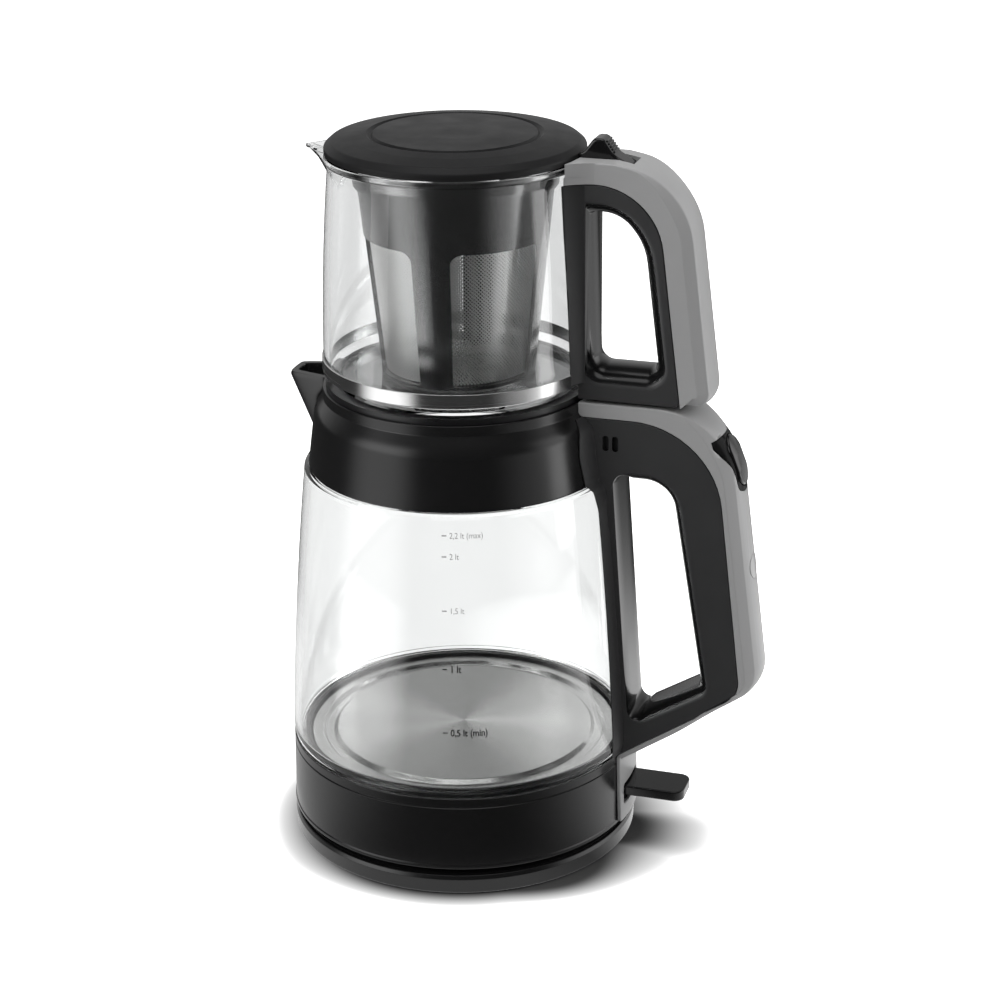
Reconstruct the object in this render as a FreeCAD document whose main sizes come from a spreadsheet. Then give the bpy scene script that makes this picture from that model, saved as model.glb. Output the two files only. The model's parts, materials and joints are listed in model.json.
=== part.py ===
import FreeCAD, Part
import math
import os

import Sketcher

# Automatic tea maker: a glass kettle on a cordless power base, with a glass teapot that stands on
# the kettle's collar.
# Frame: origin on the table under the kettle's axis, +Z up, +X towards the handles.

V = FreeCAD.Vector
TINY = 1e-6
QUARTER_BOW = 1 - math.sqrt(0.5)      # bow of a quarter circle, as a share of its radius
BASE_SCREWS_AT = 30                   # degrees about Z of the first screw
BAND_SCREWS_AT = 60
ELEMENT_SWEEP = 310                   # degrees of the open ring that the heating element makes

doc = FreeCAD.newDocument("tea_maker")
sheet = doc.addObject("Spreadsheet::Sheet", "Sizes")


# ---------------------------------------------------------------- sizes

class Dim:
    """A length worked out from the sheet: its expression for FreeCAD and its present value."""

    def __init__(self, text, value):
        self.text = text
        self.value = value

    def _join(self, sign, other, value):
        return Dim(f"({self.text} {sign} {text_of(other)})", value)

    def __add__(self, other):
        return self._join("+", other, self.value + value_of(other))

    def __radd__(self, other):
        return self + other

    def __sub__(self, other):
        return self._join("-", other, self.value - value_of(other))

    def __rsub__(self, other):
        return Dim(f"({text_of(other)} - {self.text})", value_of(other) - self.value)

    def __mul__(self, other):
        return self._join("*", other, self.value * value_of(other))

    def __rmul__(self, other):
        return self * other

    def __truediv__(self, other):
        return self._join("/", other, self.value / value_of(other))

    def __rtruediv__(self, other):
        return Dim(f"({text_of(other)} / {self.text})", value_of(other) / self.value)

    def __neg__(self):
        return Dim(f"(0 - {self.text})", -self.value)


def text_of(item):
    return item.text if isinstance(item, Dim) else repr(float(item))


def value_of(item):
    return item.value if isinstance(item, Dim) else float(item)


def root(item):
    return Dim(f"sqrt({item.text})", math.sqrt(item.value))


def size(alias, value):
    """One driving dimension: a row of the sheet, in millimetres unless its name says otherwise."""
    row = size.rows = size.rows + 1
    sheet.set(f"A{row}", alias.replace("_", " "))
    sheet.set(f"B{row}", str(value))
    sheet.setAlias(f"B{row}", alias)
    return Dim(f"Sizes.{alias}", float(value))


size.rows = 0

# fits between pieces
seat_gap = size("seat_gap", 0.1)              # between pieces that are fixed together
move_gap = size("move_gap", 0.3)              # between pieces that move past each other
shell_wall = size("shell_wall", 2.4)          # moulded plastic walls

# power base
base_radius = size("base_radius", 82)
floor_gap = size("floor_gap", 1.2)
foot_radius = size("foot_radius", 7)
foot_sink = size("foot_sink", 0.8)
foot_margin = size("foot_margin", 16)         # from the base's edge to the middle of a foot
foot_reach = base_radius - foot_margin
base_height = size("base_height", 8.3)
base_edge = size("base_edge", 1.4)
base_plate = size("base_plate", 2.2)
socket_radius = size("socket_radius", 17)
socket_height = size("socket_height", 12)
socket_flange = size("socket_flange", 6)
socket_bore = size("socket_bore", 3.4)
socket_ring = size("socket_ring", 8.5)        # middle radius of the ring contact's groove
cord_bore = size("cord_bore", 2.0)
screw_radius = size("screw_radius", 1.3)
screw_margin = size("screw_margin", 32)       # from the base's edge to its screws
screw_reach = base_radius - screw_margin

# kettle body
kettle_gap = size("kettle_gap", 3.6)          # from the power base to the kettle's band
band_height = size("band_height", 35.6)
band_flare = size("band_flare", 0.4)          # of the band's lower edge beyond the power base
band_taper = size("band_taper", 0.9)
band_foot_radius = base_radius + band_flare
band_top_radius = band_foot_radius - band_taper
band_line = size("band_line", 4.4)            # depth of the fine groove below the band's top
shelf_drop = size("shelf_drop", 5.7)
shelf_wall = size("shelf_wall", 2.4)
floor_plate = size("floor_plate", 2.5)
boss_margin = size("boss_margin", 9)          # from the band's top edge to its screw bosses
boss_reach = band_top_radius - boss_margin
boss_radius = size("boss_radius", 3.4)
glass_wall = size("glass_wall", 3.0)
glass_height = size("glass_height", 134.9)    # glass that shows, from the band to the collar
glass_taper = size("glass_taper", 9.4)
glass_top_radius = band_top_radius - glass_taper
glass_belly = size("glass_belly", 0.9)        # how far the cone of glass bows outward
glass_shoulder = size("glass_shoulder", 5.1)  # from the cone of glass in to its neck
glass_neck_radius = glass_top_radius - glass_shoulder
glass_neck_height = size("glass_neck_height", 14.4)

# heater
plate_margin = size("plate_margin", 20.7)     # from the band's top edge to the plate's flat middle
plate_radius = band_top_radius - plate_margin
plate_sheet = size("plate_sheet", 2.4)
plate_channel = size("plate_channel", 5.2)
plate_dip = size("plate_dip", 2.0)
seal_wall = size("seal_wall", 2.0)
diffuser_margin = size("diffuser_margin", 2.8)
diffuser_radius = plate_radius - diffuser_margin
diffuser_height = size("diffuser_height", 3.0)
element_margin = size("element_margin", 15.8)
element_reach = plate_radius - element_margin
element_radius = size("element_radius", 3.3)
plug_height = size("plug_height", 9)

# collar and spout
collar_height = size("collar_height", 37.4)
collar_inset = size("collar_inset", 2.3)      # of the collar's foot from the glass below it
collar_taper = size("collar_taper", 1.6)      # from its foot to its waist
collar_crown = size("collar_crown", 6.2)      # from its waist to its top edge
collar_foot_radius = glass_top_radius - collar_inset
collar_waist_radius = collar_foot_radius - collar_taper
collar_top_radius = collar_waist_radius - collar_crown
collar_shoulder = size("collar_shoulder", 21.6)   # height of the curved upper part
collar_bow = size("collar_bow", 2.6)
collar_ledge = size("collar_ledge", 7)        # from the top edge in to the mouth
collar_mouth = collar_top_radius - collar_ledge
seat_depth = size("seat_depth", 4)
ring_height = size("ring_height", 6.7)
ring_notch = size("ring_notch", 1.5)
spout_throw = size("spout_throw", 18.2)       # of the tip beyond the collar's top edge
spout_reach = collar_top_radius + spout_throw
spout_height = size("spout_height", 24)
spout_half = size("spout_half", 18.5)
spout_foot_half = size("spout_foot_half", 7.8)    # at the beak's foot
spout_wall = size("spout_wall", 1.8)

# both handles
handle_width = size("handle_width", 28.6)
cover_wall = size("cover_wall", 2.6)
cover_bevel = size("cover_bevel", 3.6)
edge_round = size("edge_round", 1.2)
grip_round = size("grip_round", 3.0)

# kettle handle: the grey cover's outline, then the black frame's margins inside it
kettle_top_throw = size("kettle_top_throw", 48.6)     # beyond the band's top edge
kettle_elbow_throw = size("kettle_elbow_throw", 16.8)  # of the elbow beyond the top
kettle_top_reach = band_top_radius + kettle_top_throw
kettle_elbow_reach = kettle_top_reach + kettle_elbow_throw
kettle_under_lap = size("kettle_under_lap", 9.7)      # of the handle's underside past the band's top
kettle_elbow_rise = size("kettle_elbow_rise", 49.9)   # of the elbow above the underside
kettle_under_drop = glass_height + collar_height + kettle_under_lap
kettle_elbow_drop = kettle_under_drop - kettle_elbow_rise
kettle_top_bend = size("kettle_top_bend", 38)
kettle_elbow_bend = size("kettle_elbow_bend", 17)
kettle_margin_top = size("kettle_margin_top", 7.0)
kettle_margin_back = size("kettle_margin_back", 7.55)
kettle_margin_elbow = size("kettle_margin_elbow", 9.7)
kettle_margin_under = size("kettle_margin_under", 3.4)
kettle_frame_bend = size("kettle_frame_bend", 42)
kettle_frame_elbow = size("kettle_frame_elbow", 13)
kettle_grip_top = size("kettle_grip_top", 25.8)
kettle_grip_back = size("kettle_grip_back", 17.5)
kettle_grip_elbow = size("kettle_grip_elbow", 15.7)
kettle_grip_under = size("kettle_grip_under", 21.0)
kettle_grip_bend = size("kettle_grip_bend", 21)
kettle_grip_corner = size("kettle_grip_corner", 4.5)
kettle_grip_inset = size("kettle_grip_inset", 6.7)
vent_width = size("vent_width", 2.4)
vent_height = size("vent_height", 6.4)
vent_pitch = size("vent_pitch", 5.2)
vent_inset = size("vent_inset", 8.6)
vent_drop = size("vent_drop", 11.6)           # of the vents below the frame's top

# button and indicator
button_angle = size("button_angle", 21)       # degrees of the button's axis above +X
button_width = size("button_width", 15)
button_length = size("button_length", 24)
button_proud = size("button_proud", 1.3)
button_travel = size("button_travel", 1.2)
button_depth = size("button_depth", 5.6)       # from the handle's surface to the button's flange
button_gap = size("button_gap", 0.4)
switch_radius = size("switch_radius", 2.8)
board_sheet = size("board_sheet", 1.4)
lens_radius = size("lens_radius", 6)
lens_drop = size("lens_drop", 75.3)

# switch lever
tail_half = size("tail_half", 15.5)
tail_sheet = size("tail_sheet", 1.4)
lever_half = size("lever_half", 10.1)
lever_throw = size("lever_throw", 28.2)       # beyond the band's lower edge
lever_reach = band_foot_radius + lever_throw
lever_top = size("lever_top", 16.9)           # above the band's lower edge
lever_sheet = size("lever_sheet", 5.0)
lever_corner = size("lever_corner", 4)
lever_pivot_inset = size("lever_pivot_inset", 9.5)  # from the band's top edge
lever_pivot_reach = band_top_radius - lever_pivot_inset
lever_angle = size("lever_angle", 12)         # degrees of travel
pin_radius = size("pin_radius", 1.5)
pin_gap = size("pin_gap", 0.08)
ear_sheet = size("ear_sheet", 2.4)

# teapot
seat_rise = size("seat_rise", 3.0)
teapot_height = size("teapot_height", 104.3)
teapot_wall = size("teapot_wall", 2.6)
teapot_floor = size("teapot_floor", 3.0)
teapot_inset = size("teapot_inset", 0.6)      # of the teapot from the collar's top edge
teapot_radius = collar_top_radius - teapot_inset
teapot_foot_inset = size("teapot_foot_inset", 6.4)
teapot_foot_radius = teapot_radius - teapot_foot_inset
teapot_foot_bend = size("teapot_foot_bend", 7)
teapot_taper = size("teapot_taper", 4.3)
teapot_neck_radius = teapot_radius - teapot_taper
teapot_neck_drop = size("teapot_neck_drop", 7)
teapot_rim_flare = size("teapot_rim_flare", 1.3)
teapot_rim_radius = teapot_neck_radius + teapot_rim_flare
teapot_belly = size("teapot_belly", 0.8)
rim_ledge = size("rim_ledge", 2.8)
lip_throw = size("lip_throw", 12.9)           # of the lip's tip beyond the rim
lip_reach = teapot_rim_radius + lip_throw
lip_half = size("lip_half", 9)
lip_height = size("lip_height", 20)
metal_band_height = size("metal_band_height", 8.1)
metal_band_lift = size("metal_band_lift", 3.3)
metal_band_sheet = size("metal_band_sheet", 0.6)

# teapot handle
teapot_handle_rise = size("teapot_handle_rise", 2.1)
teapot_top_throw = size("teapot_top_throw", 50.1)     # beyond the glass rim
teapot_foot_throw = size("teapot_foot_throw", 12.8)   # of the foot beyond the top
teapot_top_reach = teapot_rim_radius + teapot_top_throw
teapot_foot_reach = teapot_top_reach + teapot_foot_throw
teapot_handle_sink = size("teapot_handle_sink", 1.9)   # of the handle's foot below the glass
teapot_handle_drop = teapot_height + teapot_handle_rise + teapot_handle_sink
teapot_top_bend = size("teapot_top_bend", 32)
teapot_foot_corner = size("teapot_foot_corner", 7)
teapot_margin_top = size("teapot_margin_top", 9.7)
teapot_margin_back = size("teapot_margin_back", 13.6)
teapot_margin_foot = size("teapot_margin_foot", 14.6)
teapot_frame_lift = size("teapot_frame_lift", 0.8)
teapot_frame_bend = size("teapot_frame_bend", 34)
teapot_grip_top = size("teapot_grip_top", 10.5)
teapot_grip_back = size("teapot_grip_back", 4.9)
teapot_grip_foot = size("teapot_grip_foot", 8.7)
teapot_grip_under = size("teapot_grip_under", 11.0)
teapot_grip_bend = size("teapot_grip_bend", 23)
teapot_grip_inset = size("teapot_grip_inset", 4.4)
saddle_width = size("saddle_width", 36)
saddle_sheet = size("saddle_sheet", 3.0)

# infuser
infuser_margin = size("infuser_margin", 15.2)         # from the teapot's neck in to the basket
infuser_taper = size("infuser_taper", 9.4)
infuser_top_radius = teapot_neck_radius - infuser_margin
infuser_foot_radius = infuser_top_radius - infuser_taper
infuser_wall = size("infuser_wall", 1.8)
infuser_flange = size("infuser_flange", 1.6)
infuser_clear = size("infuser_clear", 1.4)    # between the basket and the teapot's floor
infuser_skirt = size("infuser_skirt", 37.5)   # plain black wall above the windows
infuser_foot_ring = size("infuser_foot_ring", 3.2)
window_share = size("window_share", 0.4988)   # half a window's width as a share of the basket's radius
window_foot_share = size("window_foot_share", 0.5354)
window_half = infuser_top_radius * window_share
window_foot_half = infuser_foot_radius * window_foot_share
window_round = size("window_round", 3.0)
mesh_sheet = size("mesh_sheet", 0.4)
infuser_turn = size("infuser_turn", 49.5)     # degrees about Z

# lid
lid_inset = size("lid_inset", 0.2)            # of the lid from the glass rim
lid_radius = teapot_rim_radius - lid_inset
lid_gap = size("lid_gap", 0.5)
lid_side = size("lid_side", 3.0)
lid_height = size("lid_height", 8.8)
lid_shoulder = size("lid_shoulder", 3.4)
lid_sheet = size("lid_sheet", 2.2)
lid_ring_margin = size("lid_ring_margin", 20.9)       # from the lid's edge to its ring groove
lid_ring_radius = lid_radius - lid_ring_margin
lid_ring_width = size("lid_ring_width", 3.6)
lid_ring_depth = size("lid_ring_depth", 0.9)
liner_sheet = size("liner_sheet", 1.4)
hinge_reach = size("hinge_reach", 19.6)       # from the lid's edge to its hinge pin
hinge_drop = size("hinge_drop", 1.0)          # of the pin below the glass rim
hinge_barrel = size("hinge_barrel", 2.8)
thumb_half = size("thumb_half", 5.6)
thumb_height = size("thumb_height", 12.2)     # of the lever's peak above the rim
thumb_peak = size("thumb_peak", 9.0)          # of the peak from the pin, towards the lid
thumb_crest = size("thumb_crest", 4.2)

# ---------------------------------------------------------------- levels and shared places

half_width = handle_width / 2
base_top = floor_gap + base_height
band_bottom = base_top + kettle_gap
band_top = band_bottom + band_height
shelf_top = band_top - shelf_drop
collar_bottom = band_top + glass_height
neck_top = collar_bottom + glass_neck_height
collar_top = collar_bottom + collar_height
collar_waist = collar_top - collar_shoulder
ring_seat = collar_top - seat_depth
teapot_bottom = collar_top + seat_rise
rim = teapot_bottom + teapot_height
lid_bottom = rim + lid_gap
lid_top = lid_bottom + lid_height
plate_top = band_top + seat_gap
socket_top = base_top + socket_height
floor_top = band_bottom + floor_plate + seat_gap
plug_seat = socket_top + kettle_gap
hinge_x = lid_radius + hinge_reach
hinge_z = rim - hinge_drop
lever_pivot_z = band_bottom + lever_top - lever_sheet / 2


# ---------------------------------------------------------------- building helpers

made = {}          # node name -> object whose shape is that piece


def bind(item, path, dim):
    item.setExpression(path, text_of(dim))


def publish(label, item):
    item.Label = label
    made[label] = item
    return item


def new_body(name):
    return doc.addObject("PartDesign::Body", name)


def origin_plane(body, role):
    for feature in body.Origin.OriginFeatures:
        if feature.Role == role:
            return feature
    raise ValueError(role)


def new_sketch(body, role, offset=None):
    sketch = body.newObject("Sketcher::SketchObject", body.Name + "_sketch")
    sketch.AttachmentSupport = [(origin_plane(body, role), "")]
    sketch.MapMode = "FlatFace"
    if offset is not None:
        sketch.AttachmentOffset = FreeCAD.Placement(V(0, 0, value_of(offset)), FreeCAD.Rotation())
        bind(sketch, "AttachmentOffset.Base.z", offset)
    return sketch


def fix_length(sketch, kind, geometry, point, dim):
    """Ties one coordinate of a sketch point to its dimension; a bare 0 lies on the axis itself."""
    if not isinstance(dim, Dim):
        axis = -2 if kind == "DistanceX" else -1      # the sketch's own upright and level axes
        sketch.addConstraint(Sketcher.Constraint("PointOnObject", geometry, point, axis))
        return
    index = sketch.addConstraint(Sketcher.Constraint(kind, -1, 1, geometry, point, dim.value))
    bind(sketch, f"Constraints[{index}]", dim)


def draw_outline(sketch, points):
    """A closed outline. A point is (across, up), or (across, up, bow): the side that starts there is
    then an arc that bows to the right of its direction by that much, or to the left if negative."""
    count = len(points)
    first = sketch.GeometryCount
    ends = []
    for index, point in enumerate(points):
        after = points[(index + 1) % count]
        start = V(value_of(point[0]), value_of(point[1]), 0)
        end = V(value_of(after[0]), value_of(after[1]), 0)
        if len(point) == 2:
            sketch.addGeometry(Part.LineSegment(start, end), False)
            ends.append((1, 2))
            continue
        side = end - start
        normal = V(side.y, -side.x, 0).normalize()
        middle = (start + end) * 0.5 + normal * point[2].value
        sketch.addGeometry(Part.Arc(start, middle, end), False)
        swapped = sketch.getPoint(first + index, 1).distanceToPoint(start) > TINY
        ends.append((2, 1) if swapped else (1, 2))
    for index, point in enumerate(points):
        geometry = first + index
        before = (index - 1) % count
        joint = Sketcher.Constraint("Coincident", first + before, ends[before][1], geometry, ends[index][0])
        sketch.addConstraint(joint)
        fix_length(sketch, "DistanceX", geometry, ends[index][0], point[0])
        fix_length(sketch, "DistanceY", geometry, ends[index][0], point[1])
        if len(point) == 3:
            after = points[(index + 1) % count]
            across = after[0] - point[0]
            up = after[1] - point[1]
            bow = point[2] if point[2].value > 0 else -point[2]
            radius = (across * across + up * up) / (bow * 8) + bow / 2
            row = sketch.addConstraint(Sketcher.Constraint("Radius", geometry, radius.value))
            bind(sketch, f"Constraints[{row}]", radius)
    return sketch


def draw_circles(sketch, centres, radius):
    for across, up in centres:
        middle = V(value_of(across), value_of(up), 0)
        geometry = sketch.addGeometry(Part.Circle(middle, V(0, 0, 1), radius.value), False)
        fix_length(sketch, "DistanceX", geometry, 3, across)
        fix_length(sketch, "DistanceY", geometry, 3, up)
        row = sketch.addConstraint(Sketcher.Constraint("Radius", geometry, radius.value))
        bind(sketch, f"Constraints[{row}]", radius)
    return sketch


def around(reach, count, start=0.0):
    """Centres of count equal steps round a circle of radius reach, the first at start degrees."""
    angles = [math.radians(start + step * 360.0 / count) for step in range(count)]
    return [(reach * math.cos(angle), reach * math.sin(angle)) for angle in angles]


def revolve(body, points):
    """Turns an outline of (radius, height) points about Z."""
    sketch = draw_outline(new_sketch(body, "XZ_Plane"), points)
    feature = body.newObject("PartDesign::Revolution", body.Name + "_turned")
    feature.Profile = sketch
    feature.ReferenceAxis = (sketch, ["V_Axis"])
    feature.Angle = 360
    body.Tip = feature
    return feature


def volume_of(body):
    doc.recompute()
    return body.Shape.Volume


def must_remove(body, before):
    if volume_of(body) > before - TINY:
        raise ValueError(f"a cut in {body.Name} removed nothing")


def turn_away(body, points):
    """Cuts an outline of (radius, height) points, turned about Z, out of the body."""
    before = volume_of(body)
    sketch = draw_outline(new_sketch(body, "XZ_Plane"), points)
    feature = body.newObject("PartDesign::Groove", body.Name + "_turned_away")
    feature.Profile = sketch
    feature.ReferenceAxis = (sketch, ["V_Axis"])
    feature.Angle = 360
    body.Tip = feature
    must_remove(body, before)
    return feature


def pad(body, sketch, length, symmetric=False, reverse=False):
    feature = body.newObject("PartDesign::Pad", body.Name + "_pad")
    feature.Profile = sketch
    bind(feature, "Length", length)
    feature.Length = value_of(length)
    feature.SideType = "Symmetric" if symmetric else "One side"
    feature.Reversed = reverse
    body.Tip = feature
    return feature


def pocket(body, sketch, length=None, symmetric=False, reverse=False):
    """Cuts to a length, or through everything if no length is given."""
    before = volume_of(body)
    feature = body.newObject("PartDesign::Pocket", body.Name + "_pocket")
    feature.Profile = sketch
    feature.SideType = "Symmetric" if symmetric else "One side"
    feature.Reversed = reverse
    if length is None:
        feature.Type = "ThroughAll"
    else:
        bind(feature, "Length", length)
        feature.Length = value_of(length)
    body.Tip = feature
    must_remove(body, before)
    return feature


def dress(body, kind, test, amount):
    """Fillets or chamfers the edges of the body's tip that pass the test."""
    doc.recompute()
    tip = body.Tip
    names = [f"Edge{n}" for n, edge in enumerate(tip.Shape.Edges, 1) if test(edge)]
    if not names:
        raise ValueError(f"no edge of {body.Name} to dress")
    feature = body.newObject("PartDesign::" + kind, body.Name + "_" + kind.lower())
    feature.Base = (tip, names)
    bind(feature, "Radius" if kind == "Fillet" else "Size", amount)
    body.Tip = feature
    doc.recompute()
    if not feature.isValid():
        raise ValueError(f"{kind} of {body.Name} failed")
    return feature


def edge_along_y(*places):
    """A test for the straight edges along Y that pass through the given (x, z) places."""
    spots = [(value_of(x), value_of(z)) for x, z in places]

    def test(edge):
        start, end = edge.Vertexes[0].Point, edge.Vertexes[-1].Point
        along = abs(end.y - start.y)
        if along < 1 or math.hypot(end.x - start.x, end.z - start.z) > TINY:
            return False
        return any(math.hypot(start.x - x, start.z - z) < 0.01 for x, z in spots)

    return test


def edge_at_side(offset, inside=None):
    """A test for the edges that lie in the two planes y = +-offset, within an (x, z) box if given."""
    far = value_of(offset)

    def test(edge):
        box = edge.BoundBox
        if box.YLength > TINY or abs(abs(box.YMax) - far) > TINY:
            return False
        if inside is None:
            return True
        x_low, x_high, z_low, z_high = (value_of(item) for item in inside)
        centre = box.Center
        return x_low < centre.x < x_high and z_low < centre.z < z_high

    return test


def turned(label, points):
    body = new_body(label)
    revolve(body, points)
    return publish(label, body)


def cylinder(name, radius, height, x=0.0, y=0.0, z=0.0):
    item = doc.addObject("Part::Cylinder", name)
    bind(item, "Radius", radius)
    bind(item, "Height", height)
    place(item, x, y, z)
    return item


def block(name, length, width, height, x, y, z):
    item = doc.addObject("Part::Box", name)
    bind(item, "Length", length)
    bind(item, "Width", width)
    bind(item, "Height", height)
    place(item, x, y, z)
    return item


def place(item, x, y, z):
    item.Placement = FreeCAD.Placement(V(value_of(x), value_of(y), value_of(z)), item.Placement.Rotation)
    bind(item, "Placement.Base.x", x)
    bind(item, "Placement.Base.y", y)
    bind(item, "Placement.Base.z", z)


def tilt(item, axis, angle):
    """Turns an item about its own origin by an angle in degrees, bound to the sheet."""
    item.Placement = FreeCAD.Placement(item.Placement.Base, FreeCAD.Rotation(axis, value_of(angle)))
    if isinstance(angle, Dim):
        bind(item, "Placement.Rotation.Angle", angle)


def group(label, items):
    joined = doc.addObject("Part::Compound", label)
    joined.Links = items
    return publish(label, joined)


def cut(label, base, tools):
    """Base minus the tools."""
    tool = tools[0]
    if len(tools) > 1:
        tool = doc.addObject("Part::MultiFuse", label + "_tools")
        tool.Shapes = tools
    result = doc.addObject("Part::Cut", label)
    result.Base = base
    result.Tool = tool
    before = volume_of(base)
    if result.Shape.Volume > before - TINY:
        raise ValueError(f"{label}: the cut removed nothing")
    return result


def fuse(label, items):
    result = doc.addObject("Part::MultiFuse", label)
    result.Shapes = items
    return result


# ---------------------------------------------------------------- shared outlines

def kettle_outside(gap):
    """(radius, height) points up the kettle's outside from the band's foot to the collar's top."""
    return [
        (band_foot_radius + gap, band_bottom),
        (band_top_radius + gap, band_top),
        (band_top_radius + gap, band_top + shelf_drop * 2, glass_belly),
        (glass_top_radius + gap, collar_bottom - seat_gap * 8),
        (collar_foot_radius + gap, collar_bottom + seat_gap * 2),
        (collar_waist_radius + gap, collar_waist, collar_bow),
        (collar_top_radius + gap, collar_top),
    ]


def grown(outline, steps):
    """An outline with each point moved by its own (across, up) step."""
    return [(point[0] + step[0], point[1] + step[1]) for point, step in zip(outline, steps)]


pot_side = collar_mouth / 2        # handle outlines start well inside the pot and are cut back to it
cover_top = collar_top + move_gap
kettle_cover = [
    (pot_side, cover_top),
    (pot_side, cover_top - kettle_under_drop),
    (glass_top_radius, cover_top - kettle_under_drop),
    (kettle_elbow_reach, cover_top - kettle_elbow_drop),
    (kettle_top_reach, cover_top),
]
kettle_frame = [
    (pot_side, cover_top - kettle_margin_top),
    (pot_side, cover_top - kettle_under_drop + kettle_margin_under),
    (glass_top_radius, cover_top - kettle_under_drop + kettle_margin_under),
    (kettle_elbow_reach - kettle_margin_elbow, cover_top - kettle_elbow_drop - kettle_margin_under),
    (kettle_top_reach - kettle_margin_back, cover_top - kettle_margin_top),
]
kettle_grip = [
    (collar_foot_radius + kettle_grip_inset, kettle_frame[0][1] - kettle_grip_top),
    (band_top_radius + kettle_margin_under, kettle_frame[2][1] + kettle_grip_under),
    (kettle_frame[3][0] - kettle_grip_elbow, kettle_frame[3][1]),
    (kettle_frame[4][0] - kettle_grip_back, kettle_frame[0][1] - kettle_grip_top),
]
teapot_cover_top = rim + teapot_handle_rise
teapot_cover_foot = teapot_cover_top - teapot_handle_drop
teapot_cover = [
    (pot_side, teapot_cover_top),
    (pot_side, teapot_cover_foot),
    (teapot_foot_reach, teapot_cover_foot),
    (teapot_top_reach, teapot_cover_top),
]
teapot_frame = [
    (pot_side, teapot_cover_top - teapot_margin_top),
    (pot_side, teapot_cover_foot + teapot_frame_lift),
    (teapot_foot_reach - teapot_margin_foot, teapot_cover_foot + teapot_frame_lift),
    (teapot_top_reach - teapot_margin_back, teapot_cover_top - teapot_margin_top),
]
teapot_grip = [
    (teapot_neck_radius + teapot_grip_inset, teapot_frame[0][1] - teapot_grip_top),
    (teapot_neck_radius + teapot_grip_inset + edge_round * 2, teapot_frame[1][1] + teapot_grip_under),
    (teapot_frame[2][0] - teapot_grip_foot, teapot_frame[1][1] + teapot_grip_under),
    (teapot_frame[3][0] - teapot_grip_back, teapot_frame[0][1] - teapot_grip_top),
]


def teapot_outside(gap):
    """(radius, height) points up the teapot's outside from its floor to the rim."""
    return [
        (teapot_foot_radius + gap, teapot_bottom, teapot_foot_bend * QUARTER_BOW),
        (teapot_radius + gap, teapot_bottom + teapot_foot_bend),
        (teapot_radius + gap, teapot_bottom + teapot_foot_bend * 2, teapot_belly),
        (teapot_neck_radius + gap, rim - teapot_neck_drop),
        (teapot_rim_radius + gap, rim - edge_round),
        (teapot_rim_radius + gap, rim),
    ]


# ---------------------------------------------------------------- power base

def make_base_shell():
    top = base_top - shell_wall * 0.8
    body = new_body("base_shell")
    revolve(body, [
        (base_radius - shell_wall, floor_gap),
        (base_radius, floor_gap),
        (base_radius, base_top - base_edge, base_edge * QUARTER_BOW),
        (base_radius - base_edge, base_top),
        (socket_radius + move_gap, base_top),
        (socket_radius + move_gap, top),
        (base_radius - shell_wall, top),
    ])
    bosses = draw_circles(new_sketch(body, "XY_Plane", floor_gap + base_plate + seat_gap),
                          around(screw_reach, 3, BASE_SCREWS_AT), boss_radius)
    pad(body, bosses, top - floor_gap - base_plate)
    holes = draw_circles(new_sketch(body, "XY_Plane", floor_gap), around(screw_reach, 3, BASE_SCREWS_AT),
                         screw_radius + seat_gap / 2)
    pocket(body, holes, base_height - shell_wall / 2, reverse=True)
    outlet = draw_circles(new_sketch(body, "XZ_Plane"), [(0, base_top - base_height / 2)],
                          cord_bore + shell_wall / 2 + seat_gap)
    pocket(body, outlet, base_radius * 2)
    publish("base_shell", body)


def make_base_plate():
    edge = base_radius - shell_wall - seat_gap
    body = new_body("base_bottom_plate")
    revolve(body, [(0, floor_gap), (edge, floor_gap), (edge, floor_gap + base_plate),
                   (0, floor_gap + base_plate)])
    feet = draw_circles(new_sketch(body, "XY_Plane", floor_gap), around(foot_reach, 4),
                        foot_radius + seat_gap)
    pocket(body, feet, foot_sink, reverse=True)
    heads = draw_circles(new_sketch(body, "XY_Plane", floor_gap), around(screw_reach, 3, BASE_SCREWS_AT),
                         screw_radius * 2 + seat_gap)
    pocket(body, heads, base_plate / 2, reverse=True)
    holes = draw_circles(new_sketch(body, "XY_Plane", floor_gap), around(screw_reach, 3, BASE_SCREWS_AT),
                         screw_radius + seat_gap)
    pocket(body, holes, base_plate, reverse=True)
    publish("base_bottom_plate", body)


def make_base_feet():
    body = new_body("base_feet")
    pads = draw_circles(new_sketch(body, "XY_Plane"), around(foot_reach, 4), foot_radius)
    pad(body, pads, floor_gap + foot_sink)
    dress(body, "Fillet", lambda edge: edge.BoundBox.ZMax < TINY, floor_gap / 3)
    publish("base_feet", body)


def screws(label, reach, start, bottom, head_height, length):
    """Three screws, heads down, whose shanks stand up from the heads."""
    body = new_body(label)
    heads = draw_circles(new_sketch(body, "XY_Plane", bottom), around(reach, 3, start), screw_radius * 2)
    pad(body, heads, head_height)
    shanks = draw_circles(new_sketch(body, "XY_Plane", bottom), around(reach, 3, start), screw_radius)
    pad(body, shanks, length)
    publish(label, body)


def make_socket():
    shelf = base_top - shell_wall * 0.8 - move_gap
    groove_low = base_top + shell_wall / 2
    half_groove = screw_radius * 0.8
    turned("base_socket", [
        (socket_bore, shelf - shell_wall / 2),
        (socket_radius + socket_flange, shelf - shell_wall / 2),
        (socket_radius + socket_flange, shelf),
        (socket_radius, shelf),
        (socket_radius, socket_top - base_edge, base_edge * QUARTER_BOW),
        (socket_radius - base_edge, socket_top),
        (socket_ring + half_groove, socket_top),
        (socket_ring + half_groove, groove_low),
        (socket_ring - half_groove, groove_low),
        (socket_ring - half_groove, socket_top),
        (socket_bore, socket_top),
    ])


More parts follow.
